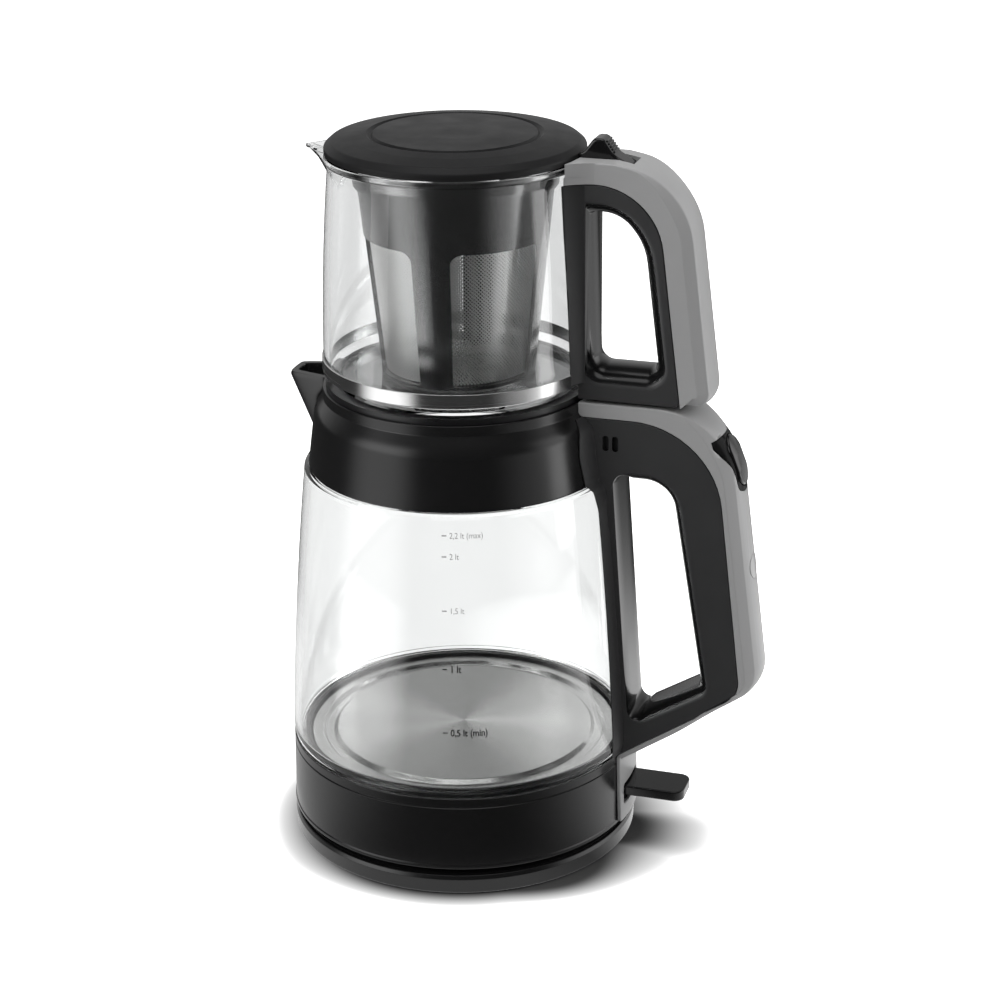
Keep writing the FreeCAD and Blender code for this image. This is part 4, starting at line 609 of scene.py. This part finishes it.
dress(lathe("heater_disc", [
    (0, 46.4), (60.5, 46.4), (62.8, 44.4), (66, 44.4), (68, 45.2), (73.8, 45.2), (73.8, 47.6, 0.8),
    (72.8, 48.6, 0.5), (68.0, 48.6, 0.9), (66.0, 46.8, 1.2), (62.8, 46.8, 1.2), (60.8, 48.8, 0.9),
    (30, 48.8), (0, 48.8)], segs=300), "kettle", "brushed_plate", "heater_plate")

# -------------------------------- kettle glass

dress(lathe("kettle_vessel", [
    (76.0, 43.1, 0.4), (79.0, 43.1, 0.4), (79.0, 48.9, 0.3), (80.7, 48.9, 0.6), (81.3, 50.2, 0.5),
    (80.75, 50.8, 0.3), (81.5, 51.9, 0.6), (*GLASS_LOW, 0, GLASS_BOW), (*GLASS_TOP, 0.8),
    (70.5, 183.3, 0.6), (67.0, 183.35), (67.0, 197.9, 0.7), (64.0, 197.9, 0.7), (64.0, 184.2, 2.0),
    (69.1, 180.6, 2.5, -GLASS_BOW), (78.5, 60.1), (78.5, 53.0, 3.0), (76.0, 50.4, 1.0)], segs=360),
    "kettle", "clear_glass", "kettle_glass")

# -------------------------------- collar with its spout

SPOUT = np.radians(np.concatenate([
    np.arange(-132, 132.1, 2.0), np.arange(132.5, 156, 0.75), np.arange(156, 204, 0.25),
    np.arange(204, 227.6, 0.75)]))    # closer towards the spout at 180 degrees
SPOUT_FOOT = 187.0
SPOUT_RISE = 0.354              # how far the beak leans out for each millimetre up
BEAK_ROOT = 53.2                # radius at which the beak has its full width


def off_spout(angles):
    """Angle to -X, the direction of both spouts."""
    return np.abs(angles % TAU - math.pi)


def beak(half, reach, blunt, k):
    """Radius of a V that opens towards the axis, half wide at its root and blunt at its tip."""
    phi = np.minimum(off_spout(SPOUT), 1.0)
    length = reach - BEAK_ROOT
    slope = np.sin(phi) * length + np.cos(phi) * (half - blunt)
    return smooth_min((half * length + BEAK_ROOT * (half - blunt)) / slope, reach / np.cos(phi), k)


def collar_outside(r, z):
    if z <= SPOUT_FOOT - 1:
        return turn_loop(r, z, SPOUT)
    share = (z - SPOUT_FOOT) / (RIM_Z - SPOUT_FOOT)
    reach = 69.3 + SPOUT_RISE * (z - SPOUT_FOOT) - 0.2 * max(0, z - 218.5) ** 2
    nose = beak(7.5 + 7.0 * share, reach, 3.0 + 4.5 * share, 2.6)
    radius = smooth_max(r, nose, 0.7 * min(1, max(0, share) * 4 + 0.05))
    return turn_loop(np.where(np.cos(SPOUT) < -0.45, radius, r), z, SPOUT)


def collar_inside(r, z):
    depth = RIM_Z - z
    nose = beak(11.6 - 0.22 * depth, 77.4 - SPOUT_RISE * depth, 5.2 - 0.11 * depth, 2.2)
    return turn_loop(np.where(np.cos(SPOUT) < -0.6, np.maximum(r, nose), r), z, SPOUT)


outside = path([(67.2, 183.6), (69.85, 183.6, 0.5)] + COLLAR[:-1] + [(62.15, RIM_Z, 0.5), (60.8, RIM_Z)],
               closed=False)
rim_out, rim_in = collar_outside(61.6, RIM_Z), collar_inside(60.8, RIM_Z)
loops = [collar_outside(r, z) for r, z in finer(outside, 0.8)[:-2]]
loops += [rim_out + (rim_in - rim_out) * f for f in (0.15, 0.5, 0.85)]
loops += [collar_inside(60.8, z) for z in (RIM_Z, 220.6, 219.8, 218.6, 217.1)]
loops += [collar_inside(55.0, z) for z in (217.1, 213, 209, 205, 202.5, 200.4)]
loops += [turn_loop(67.2, z, SPOUT) for z in (200.3, 183.6)]
dress(loops_mesh("pouring_collar", loops, sharp=40), "kettle", "collar_black", "spout_collar")

# -------------------------------- parts of both handles


def grip(name, outline, hole, depth, flare, draw, share=1.0):
    """A handle's frame: a plate whose opening closes by draw halfway and flares over depth by flare."""
    rings = [[(outline - outward(outline) * inset, height) for inset, height in edge_rings(HALF, 0.5, 6)]]
    rings.append([
        (hole + outward(hole) * (inset * flare - draw) * share,
         math.copysign(HALF - (HALF - abs(height)) * depth, height))
        for inset, height in edge_rings(HALF, 1.0, 9)])
    return plate(name, rings)


def cover_profile(edge, crown=None, facet=None):
    """(inset, height) from the edge of a cover's back to its middle: rounded by edge and flat, or with a
    crown and with a facet of (inset, height) at its edge."""
    middle = np.linspace(0, 1, 7)
    if facet is None:
        turns = np.linspace(0, math.pi / 2, 6)
        return ([(edge * (1 - math.sin(t)), HALF - edge * (1 - math.cos(t))) for t in turns]
                + [(0.0, (HALF - 1.6) * (1 - f)) for f in middle])
    inner, flat_y = facet[0] + crown, HALF - facet[1]
    return ([(inner + 0.5, HALF), (inner + 0.05, HALF - 0.25), (inner - 0.5, HALF - 0.9),
             (crown + 0.45, flat_y + 0.6), (crown, flat_y - 0.1), (crown * 0.86, flat_y - 0.9)]
            + [(crown * (y / flat_y) ** 2, y) for y in (flat_y - 1.6) * (1 - middle)])


def cover(name, outer, seam, weight, facet, crown):
    """A handle's cover: a strip between its outside and the seam, facetted and crowned over the back as
    far as weight says, point for point."""
    loop = np.vstack([outer, seam])
    on_back = np.concatenate([np.ones(len(outer)), np.zeros(len(seam))])
    share = np.concatenate([weight, np.zeros(len(seam))])
    away = outward(loop)
    kinds = cover_profile(0, crown, facet), cover_profile(0.9), cover_profile(0.35)
    rings = []
    for shaped, plain, thin in zip(*(np.array(kind) for kind in kinds)):
        inset, height = (on_back * (share * shaped[i] + (1 - share) * plain[i]) + (1 - on_back) * thin[i]
                         for i in (0, 1))
        rings.append((loop - away * inset[:, None], height))
    rings = [(ring, -height) for ring, height in rings] + rings[-2::-1]
    return plate(name, [rings], sharp=28)


def open_run(points):
    return thicken(path(points, closed=False), 3.0, closed=False)


# -------------------------------- kettle handle, black frame

WALL_TOP, WALL_LOW = np.array([76.5, 188.5]), np.array([84.9, 63.7])    # the window's side at the glass
FOOT_LOW, FOOT_TOP = 49.0, 214.5

outline = thicken(path([(55, 42.7), (72.1, 42.7, 2), (137.25, 85.8, 13), (122.55, 214.3, 42), (55, 214.3)]))
window = thicken(path([(*WALL_TOP, 5.5), (*WALL_LOW, 5), (121.55, 85.8, 6), (105.05, 188.5, 21)]), 3)
wall = (WALL_LOW - WALL_TOP) / np.linalg.norm(WALL_LOW - WALL_TOP)
off_wall = np.abs((window - WALL_TOP) @ [wall[1], -wall[0]])
flare_share = 0.1 + 0.9 * np.clip(off_wall / 9, 0, 1) ** 1.5
black = grip("kettle_grip", outline, window, 9.0, 5.2, 3.2, flare_share[:, None])
boolean(black, pot_solid(KETTLE, 5, 235))
for vent_x in (73.3, 77.7):
    for side in (-1, 1):
        vent = capsule(7.4, 2.8, 40)[:, ::-1] * [-1, 1] + [vent_x, 202.9]
        boolean(black, slab("vent", vent, [(0, side * 9), (0, side * 20)]))

# its foot on the glass and the collar, a curved sheet that thins out to its edges
pot_line = path(KETTLE, closed=False)
rows = []
for z in np.linspace(FOOT_LOW, FOOT_TOP, 96):
    end = min(1.0, (z - FOOT_LOW) / 6 + 0.1, (FOOT_TOP - z) / 4 + 0.1)
    base_r = np.interp(z, pot_line[:, 1], pot_line[:, 0]) + 0.08
    spread = math.radians(np.interp(z, [60, 172, 181, 185, 198, 206, FOOT_TOP],
                                    [14.3, 14.3, 16.4, 19.0, 20.6, 19.6, 17.2]))
    core = math.asin(14.2 / (base_r + 2.4))
    angles = spread * np.linspace(-1, 1, 41)
    lift = np.interp(np.abs(angles), [core, spread], [2.4, 0.5]) * (0.4 + 0.6 * end)
    rows.append(np.vstack([turn_loop(base_r + lift, z, angles), turn_loop(base_r, z, angles)[::-1]]))
boolean(black, loops_mesh("saddle", rows, closed=False, cap=True), "UNION")
dress(black, "kettle", "handle_black", "kettle_handle_frame")

# -------------------------------- kettle handle, grey cover

BACK_LOW, BACK_TOP = (146.9, 89.2), (130.1, 221.3)    # corners of the outside, (x, z)
BEND_R = 38
LEAN = (BACK_LOW[0] - BACK_TOP[0]) / (BACK_TOP[1] - BACK_LOW[1])
BEND = (BACK_TOP[0] + LEAN * BEND_R - BEND_R * math.hypot(1, LEAN), BACK_TOP[1] - BEND_R)
BUTTON_AT = math.radians(21)
LENS_DOWN = 75.3                # from the top corner down to the lens

outer = open_run([(55, 39.3), (72.1, 39.3, 2), (*BACK_LOW, 17), (*BACK_TOP, BEND_R), (55, BACK_TOP[1])])
seam = open_run([(55, 214.55), (122.77, 214.55, 42.2), (137.5, 85.65, 13.2), (72.1, 42.45, 2), (55, 42.45)])
weight = ramp(outer[:, 0], 104, 131) * np.where(outer[:, 1] < 90, ramp(outer[:, 0], 84, 120), 1)
weight *= 0.5 + 0.5 * ramp(outer[:, 1], 78, 100)
grey = cover("kettle_back", outer, seam, weight, (4.0, 4.6), 2.3)


def on_band(p):
    """(y, z, depth) on the band's cone to the frame."""
    y, z, depth = p
    r = 82.5 - (z - TABLE_GAP) * (0.9 / 35.6) + depth
    return (math.sqrt(r * r - y * y), y, z)


def surface_at(x, z, lean):
    """Maps (along the handle, across, out) at a spot of the handle's back, which faces up by lean."""
    c, s = math.cos(lean), math.sin(lean)
    return lambda p: (x - p[0] * s + p[2] * c, p[1], z + p[0] * c + p[2] * s)


# tail panel on the band, with the lever's opening
tail_loop = thicken(path([(15.5, 13.3, 1.2), (15.5, 47.6, 1.0), (-15.5, 47.6, 1.0), (-15.5, 13.3, 1.2)]), 1.5)
hole_loop = thicken(path([(11.2, 20.9, 1.5), (11.2, 31.2, 1.5), (-11.2, 31.2, 1.5), (-11.2, 20.9, 1.5)]), 0.6)
tail = framed("tail", resample(tail_loop, 160), resample(hole_loop, 160), 1.4, on_band, 14, soft=0.5)
boolean(grey, pot_solid(KETTLE, 5, 235))
boolean(grey, tail, "UNION")

# the button's drop-shaped bezel is cut out of the cover, and both get the button's well
at_button = surface_at(
    BEND[0] + BEND_R * math.cos(BUTTON_AT), BEND[1] + BEND_R * math.sin(BUTTON_AT), BUTTON_AT)
half_drop = [(-14.2, 3.0, 3), (-12.4, 7.9, 4), (-2.0, 9.2, 12), (6.0, 11.8, 12), (12.6, 13.5, 0.8),
             (13.6, 12.6, 0.8)]
drop = thicken(path([(x, -y, r) for x, y, r in half_drop] + half_drop[::-1]), 2.5)
bezel = linked("button_bezel", grey.data.copy())
boolean(bezel, slab("drop", drop, [(0, -6.6), (0, 8)], at_button), "INTERSECT")
boolean(grey, slab("drop", drop + outward(drop) * 0.12, [(0, -6.7), (0, 8)], at_button))
for shell in (grey, bezel):
    boolean(shell, slab("well", capsule(25.0, 15.6), [(0, -6.2), (0, 8)], at_button))
dress(bezel, "kettle", "button_black")

at_lens = surface_at(BACK_TOP[0] + LEAN * LENS_DOWN, BACK_TOP[1] - LENS_DOWN, math.atan(LEAN))
angles = np.linspace(0, TAU, 72, endpoint=False)
circle = np.stack([np.cos(angles), np.sin(angles)], axis=1)
boolean(grey, slab("hole", 6.12 * circle, [(0, -3.4), (0, 8)], at_lens), sharp=28)
dress(grey, "kettle", "cover_grey", "kettle_handle_cover")

button = domed("button_cap", capsule(24.0, 15.0), -7.0, lambda x, y: (
    math.sqrt((BEND_R + 0.5) ** 2 - x * x) - BEND_R - 0.014 * y * y), at_button, 0.7)
dress(button, "mode_button", "gloss_black", "mode_button")
lens = domed("indicator_window", 6.0 * circle, -3.1, lambda x, y: -0.016 * y * y, at_lens, 0.35)
dress(lens, "kettle", "lens_grey", "indicator_lens")

# -------------------------------- switch lever

outline = thicken(path([(67.2, -10.0), (110.5, -10.0, 5), (110.5, 10.0, 5), (67.2, 10.0)]), 3)
lever = slab("switch_paddle", outline, [(i, h + 27.5) for i, h in edge_rings(2.45, 0.7, 4)], lying)
dress(boolean(lever, bore(72.0, 27.5, PIN_BORE, -20, 20)), "switch_lever", "gloss_black", "switch_lever")

# -------------------------------- teapot glass

LIP = np.radians(np.concatenate([np.arange(-165, 165.1, 1.5), np.arange(165.5, 194.8, 0.25)]))
LIP_FOOT, LIP_TOP = 306.5, 327.0


def lip_loop(r, z, size):
    """A ring of the teapot's glass with its pouring lip, size being the lip's share on this surface."""
    phi = off_spout(LIP)
    share = min(1, max(0.0, (z - LIP_FOOT) / (LIP_TOP - LIP_FOOT)))
    spread = math.radians(4.5 + 4.5 * share)
    bump = 12.4 * share ** 1.35 * (1 - smooth_min(phi / spread, 1.0, 0.16)) * size
    bump = np.where(phi < spread * 1.3, np.maximum(bump, 0), 0)
    return turn_loop(r + bump, z - bump * 0.08 * size * (z > 326), LIP)


outside = path([(0, 224.0), (53.5, 224.0, 3), (61.4, 231.2, 6), (61.4, 238.0, 0, 0.8), (57.1, 321.3, 6),
                (58.45, 326.6, 2), (58.45, 328.3, 0.7), (57.0, 328.3, 0.6)], closed=False)
inside = path([(55.75, 328.3, 0.6), (55.7, 325.5, 0.3), (54.5, 325.5, 0.8), (54.5, 321.3, 0, -0.8),
               (58.8, 238.0), (58.8, 231.0, 5), (54.0, 227.0, 5), (0, 227.0)], closed=False)
loops = [lip_loop(max(r, 0.001), z, size) for run, size in ((outside, 1.0), (inside, 0.93))
         for r, z in finer(run, 1.0, fine_above=300.0)]
dress(loops_mesh("teapot_vessel", loops, closed=False), "teapot", "tea_glass", "teapot_glass")

dress(lathe("teapot_hoop", [(61.45, 229.3), (62.05, 229.3, 0.2), (62.1, 235.4, 0.2), (61.45, 235.4)],
            segs=300), "teapot", "brushed_band", "teapot_band")

# -------------------------------- teapot handle


def foot_on_glass(heights, radii, spreads, reach):
    """A frame's foot: from the frame's side face at reach it curves out and down to the glass. radii and
    spreads are (heights, values) of the glass's radius and the foot's half angle."""
    rows = []
    share = np.linspace(0, 1, 16)
    for z in heights:
        base_r, wide = np.interp(z, *radii), math.radians(np.interp(z, *spreads))
        x = reach + ((base_r + 0.4) * math.cos(wide) - reach) * share
        y = HALF - 0.05 + ((base_r + 0.4) * math.sin(wide) - HALF + 0.05) * share ** 1.5
        height = np.full(len(share), z)
        rows.append(np.vstack([np.column_stack([x, -y, height])[::-1], np.column_stack([x, y, height]),
                               turn_loop(base_r, z, np.linspace(wide, -wide, 33))]))
    return loops_mesh("saddle", rows, closed=False, cap=True)


outline = thicken(path([(50, 222.9), (106.7, 222.9, 2.5), (94.9, 320.7, 31), (50, 320.7)]))
window = thicken(path([(61.5, 309.4, 4), (63.9, 233.9, 8), (98.0, 233.9, 6), (90.6, 295.6, 33),
                       (78.0, 309.4, 21)]), 3)
black = grip("teapot_grip", outline, window, 13.4, 7.4, 2.9)
saddle = foot_on_glass(
    np.linspace(230.6, 320.4, 46), ([228, 238, 260, 285, 312, 321.3], [61.6, 61.6, 60.9, 59.5, 57.9, 57.3]),
    ([232, 300, 318], [18.7, 19.8, 19.6]), 63.6)
boolean(black, pot_solid(TEAPOT, 215, 340, 0.62))
boolean(black, saddle, "UNION")
dress(black, "teapot", "handle_black", "teapot_handle_frame")

outer = open_run([(107.0, 222.1), (121.3, 222.1, 7), (108.9, 324.2, 37), (76, 330.4), (50, 330.4)])
seam = open_run([(50, 320.95), (95.15, 320.95, 31.2), (106.95, 223.2, 0.5), (107.0, 222.6)])
grey = cover("teapot_back", outer, seam, ramp(outer[:, 0], 84, 109), (4.3, 3.8), 1.2)
boolean(grey, pot_solid(TEAPOT[:-1] + [(58.85, 328.0)], 215, 340, 0.15))
boolean(grey, foot_on_glass(np.linspace(321.1, 330.4, 16), ([324.2, 324.4], [58.6, 59.2]),
                            ([320, 330], [19.6, 19.6]), 68.0), "UNION")
room = path([(40, 323.5), (82.2, 323.5, 0.6), (82.6, 328.4), (84.6, 331.5), (84.6, 335), (40, 335)])
boolean(grey, slab("lever_room", room, [(0, -6.0), (0, 6.0)]), sharp=28)
dress(grey, "teapot", "cover_grey", "teapot_handle_cover")

# -------------------------------- infuser

CELL_R = 37.0                   # radius at which the cells' widths are measured
CELL_AT = math.radians(46.9)    # middle of the first cell
CELL_LOW, CELL_TOP = 228.4, 297.0
TAPER = 0.105


def on_cone(p):
    """(way round, z, depth) on the infuser's cone to the frame."""
    angle = p[0] / CELL_R + CELL_AT
    r = 35.0 + (p[1] - CELL_LOW) * TAPER - 1.8 + p[2]
    return (r * math.cos(angle), r * math.sin(angle), p[1])


half_cell = CELL_R * TAU / 8
cell = resample(np.array([(-half_cell, CELL_LOW), (half_cell, CELL_LOW), (half_cell, CELL_TOP),
                          (-half_cell, CELL_TOP)]), 240)
hole = path([(-21.2, 229.6, 1.5), (21.2, 229.6, 1.5), (21.2, 292.3, 5.0), (-21.2, 292.3, 5.0)])
hole = resample(thicken(hole, 0.5), 240)
hole = np.roll(hole, -np.argmin(np.linalg.norm(hole - cell[0], axis=1)), axis=0)
parts = [framed("cell", cell + [shift, 0], hole + [shift, 0], 1.8, on_cone, 5)
         for shift in 2 * half_cell * np.arange(4)]
parts.append(lathe("skirt", [(40.4, CELL_TOP), (42.2, CELL_TOP), (45.2, 325.6, 0.3), (55.3, 325.6, 0.4),
                             (55.3, 327.2, 0.4), (43.4, 327.2, 0.6)], segs=200))
parts.append(lathe("foot", [(29.7, CELL_LOW, 0.5), (34.9, CELL_LOW, 0.4), (35.1, 229.9), (29.7, 229.9, 0.5)],
                   segs=200))
dress(join("infuser_body", parts), "teapot", "infuser_black", "infuser_frame")

dress(lathe("infuser_cloth", [(0, 230.3), (32.8, 230.3), (39.4, 294.0), (39.05, 294.0), (32.45, 230.65),
                              (0, 230.65)], segs=200), "teapot", "mesh_steel", "infuser_mesh")

# -------------------------------- lid

dress(lathe("lid_cap", [
    (56.0, 328.8, 0.2), (58.2, 328.8, 0.4), (58.2, 331.6, 1.6), (55.3, 334.1, 2.5), (46.0, 335.8, 8),
    (39.4, 336.75, 0.35), (37.7, 335.7, 0.4), (37.2, 335.7, 0.2), (36.3, 336.9, 0.4), (16.0, 337.45, 20),
    (0, 337.55), (0, 334.4), (37.3, 334.0), (53.8, 330.6), (56.0, 330.6)], segs=300),
    "lid", "lid_charcoal", "lid_cover")

RIB_TOP, RIB_LOW = np.array([69.5, 338.2]), np.array([74.3, 331.6])    # the slope that the ribs stand on

thumb = thicken(path([
    (57.2, 328.95), (57.2, 331.6), (60.4, 333.4, 6), (64.6, 339.0, 3.0), (69.0, 339.0, 3.2), (74.0, 331.9, 8),
    (81.4, 328.0, 0.9), (80.6, 324.6, 2.2), (75.0, 324.6, 2.2), (66.3, 328.9, 3)]), 1.0)[::-1]
lever = slab("thumb_lever", thumb, edge_rings(5.55, 1.3, 6))
boolean(lever, bore(77.8, 327.3, PIN_BORE, -20, 20))
for k in range(5):
    rib = capsule(1.7, 1.0, 16) @ np.array([[0.6, 0.8], [-0.8, 0.6]])
    rib = rib + RIB_TOP + (RIB_LOW - RIB_TOP) * (0.12 + 0.17 * k)
    boolean(lever, slab("rib", rib, edge_rings(3.9, 0.35, 3)), "UNION")
dress(lever, "lid", "gloss_black")

# -------------------------------- level marks

MARK_AT = math.radians(VIEW_AT - 90 - 6.9)
LARGE_BELOW = 120               # the marks below this height are larger and bolder
MARKS = {81.8: "0,5 lt (min)", 112.3: "1 lt", 139.7: "1,5 lt", 164.7: "2 lt", 174.3: "2,2 lt (max)"}


def on_glass(u, z):
    """The way round from the marks, and the height, to a point just off the kettle's glass."""
    t = (z - GLASS_LOW[1]) / (GLASS_TOP[1] - GLASS_LOW[1])
    r = GLASS_LOW[0] + (GLASS_TOP[0] - GLASS_LOW[0]) * t + GLASS_BOW * 4 * t * (1 - t) + 0.06
    return (r * math.cos(MARK_AT + u / r), r * math.sin(MARK_AT + u / r), z)


verts, faces = [], []
for level, words in MARKS.items():
    text = bpy.data.curves.new("words", "FONT")
    text.body = words
    size = 4.6 if level < LARGE_BELOW else 3.9
    text.size = size
    text.offset = 0.09 if level < LARGE_BELOW else 0.0
    text.resolution_u = 6
    holder = linked("words", text)
    graph = bpy.context.evaluated_depsgraph_get()
    letters = bpy.data.meshes.new_from_object(holder.evaluated_get(graph))
    bpy.data.objects.remove(holder)
    bm = bmesh.new()
    bm.from_mesh(letters)
    bpy.data.meshes.remove(letters)
    bmesh.ops.triangulate(bm, faces=bm.faces)
    start = len(verts)
    verts += [on_glass(v.co.x * 0.82 + 3.4, v.co.y + level - size * 0.33) for v in bm.verts]
    faces += [tuple(start + v.index for v in f.verts) for f in bm.faces]
    bm.free()
    start = len(verts)
    verts += [on_glass(0.55 * k, level + dz) for k in range(5) for dz in (-0.28, 0.28)]
    faces += [(a, a + 2, a + 3, a + 1) for a in range(start, start + 8, 2)]
dress(raw_piece("level_marks", verts, faces), "kettle", "print_black")

# -------------------------------- floor and light

FRONT = math.radians(VIEW_AT - 90)    # direction of the viewer, seen from above


def beam(compass, azimuth, low, high, start, end):
    """start to end as compass turns towards azimuth degrees, azimuth 0 being the viewer. low and high are
    cosines of the angle between the two."""
    turn = FRONT + math.radians(azimuth)
    cosine = vector_maths("DOT_PRODUCT", compass, (math.cos(turn), math.sin(turn), 0))
    return ease(cosine, low, high, start, end)


def side_panels(compass, right_at=96, gain=1.0):
    """The two tall light panels that black plastic and steel mirror, left and right of the viewer."""
    return most(beam(compass, -62, 0.86, 1.0, 0.0, 2.6 * gain),
                beam(compass, right_at, 0.72, 1.0, 0.0, 2.1 * gain), 0.035)


def shadow_reach(away, compass):
    """How far a floor point is out of the painted shadow round the base: 0 in its dark, 1 outside it."""
    edge = plus(beam(compass, 0, 0.0, 0.8, 0.0835, 0.0875), beam(compass, 62, 0.6, 1.0, 0.0, 0.010),
                beam(compass, 74, 0.975, 1.0, 0.0, 0.012))
    steep = plus(beam(compass, 0, 0.5, 1.0, 36.0, 66.0), beam(compass, 74, 0.7, 1.0, 0.0, -14.0))
    return plus(times(maths("SUBTRACT", away, edge), steep), 0.45)


def seen_white(rays, through):
    """1 for rays from the camera, also behind glass. Those that a mirror has sent through glass get the
    value of through."""
    straight = maths("LESS_THAN", rays["Glossy Depth"], 0.5)
    return most(rays["Is Camera Ray"], times(rays["Is Transmission Ray"], most(through, straight)))


floor = raw_piece("floor", [(x * 6000, y * 6000, 0) for x, y in ((-1, -1), (1, -1), (1, 1), (-1, 1))],
                  [(0, 1, 2, 3)])
floor.data.materials.append(bpy.data.materials.new("floor"))
tree, surface = empty_tree(floor.data.materials[0])
rays = node(tree, "ShaderNodeLightPath").outputs
glossy = rays["Is Glossy Ray"]
point = object_point(tree)
away, compass = vector_maths("LENGTH", point), vector_maths("NORMALIZE", point)
reach = shadow_reach(away, compass)

# what plastic and steel mirror: the floor close by, the panels, and two glows at the right
near = times(ease(away, 0.22, 0.4, 1.0, 0.0), beam(compass, 180, -0.97, -0.15, 0.0, 1.0),
             beam(compass, 90, -0.3, 0.3, 0.75, 1.3))
rim = times(ease(away, 0.092, 0.112, 1.0, 0.0), beam(compass, 90, 0.3, 0.9, 1.0, 0.3))
far = times(side_panels(compass), ease(away, 0.16, 0.34, 0.0, 1.0), ease(away, 0.57, 0.63, 1.0, 0.48))
wide = times(beam(compass, 90, 0.35, 0.95, 0.0, 0.8), ease(away, 0.57, 0.63, 0.0, 1.0))
tall = times(beam(compass, 88, 0.925, 0.965, 0.0, 3.4), ease(away, 0.66, 0.74, 0.0, 1.0))
mirrored = times(glossy, most(near, rim, far, wide, tall))

# what the camera sees: white, but for the painted shadow round the base; the lamps' real shadow falls there
# too
through = most(side_panels(compass, 84, 0.5), beam(compass, 180, 0.1, 0.7, 0.0, 1.0))
open_floor = times(seen_white(rays, through), ease(reach, 0.0, 1.0))
# painted shadow: the floor's own colour grows darker close to the base
matte = times(ease(reach, 0.6, 1.1, 0.06, 0.8), maths("SUBTRACT", 1.0, times(glossy, 0.97)))
add = node(tree, "ShaderNodeAddShader")
feed(add.inputs[0], node(tree, "ShaderNodeBsdfDiffuse", Color=grey_of(matte)).outputs[0])
feed(add.inputs[1], node(tree, "ShaderNodeEmission", Strength=most(open_floor, mirrored)).outputs[0])
feed(surface, add.outputs[0])

scene.world = bpy.data.worlds.new("studio")
tree, surface = empty_tree(scene.world, "ShaderNodeOutputWorld")
rays = node(tree, "ShaderNodeLightPath").outputs
glossy = rays["Is Glossy Ray"]
direction = node(tree, "ShaderNodeTexCoord").outputs["Generated"]
height = xyz(direction)[2]
compass = vector_maths("NORMALIZE", vector_maths("MULTIPLY", direction, (1, 1, 0)))
low = ease(height, 0.3, 0.75, 1.0, 0.0)
panels = times(side_panels(compass), low)
backdrop = times(beam(compass, 180, 0.1, 0.8, 0.0, 0.55), low)
overhead = times(glossy, ease(height, 0.82, 0.93, 0.0, 1.6))
room_light = ease(most(glossy, rays["Is Transmission Ray"]), 0.0, 1.0, 0.16, 0.05)
white = seen_white(rays, beam(direction, 180, 0.1, 0.7, 0.0, 1.0))
sky = node(tree, "ShaderNodeBackground", Color=(1, 1, 1, 1),
           Strength=most(white, panels, overhead, backdrop, room_light))
feed(surface, sky.outputs[0])


def softbox(name, azimuth, elevation, distance, width, power, aim=0.17):
    """A lamp at azimuth and elevation degrees round the height aim, azimuth 0 being the viewer."""
    turn, rise = FRONT + math.radians(azimuth), math.radians(elevation)
    target = Vector((0, 0, aim))
    light = bpy.data.lights.new(name, "AREA")
    light.shape = "RECTANGLE"
    light.size, light.size_y = width, 0.9
    light.energy = power
    obj = linked(name, light)
    obj.location = target + distance * Vector((
        math.cos(turn) * math.cos(rise), math.sin(turn) * math.cos(rise), math.sin(rise)))
    obj.rotation_euler = (target - obj.location).to_track_quat("-Z", "Y").to_euler()
    obj.visible_camera = False
    obj.visible_glossy = False


softbox("key", -95, 74, 1.3, 0.9, 13)
softbox("front_top", 0, 50, 1.3, 0.9, 5)
softbox("right_strip", 100, 10, 0.9, 0.34, 4.5, aim=0.25)
softbox("left_strip", -70, 10, 0.9, 0.3, 1.5, aim=0.25)

# -------------------------------- camera

SENSOR = 36                     # mm
FOCAL = 2.496                   # focal length in widths of the picture

camera = bpy.data.cameras.new("camera")
camera.sensor_width = SENSOR
camera.lens = SENSOR * FOCAL
camera.clip_start, camera.clip_end = 0.05, 30
view = linked("camera", camera)
pitch, yaw, roll = math.radians(21.549), math.radians(0.965), math.radians(-0.539)
forward = Vector((math.sin(yaw) * math.cos(pitch), math.cos(yaw) * math.cos(pitch), -math.sin(pitch)))
right = forward.cross(Vector((0, 0, 1))).normalized()
up = right.cross(forward)
right, up = right * math.cos(roll) + up * math.sin(roll), up * math.cos(roll) - right * math.sin(roll)
pose = Matrix((right, up, -forward)).transposed().to_4x4()
pose.translation = (0, -1.082132, 0.589469)
view.matrix_world = Matrix.Rotation(math.radians(VIEW_AT), 4, "Z") @ pose
scene.camera = view
scene.view_settings.view_transform = "Standard"

bpy.context.view_layer.update()
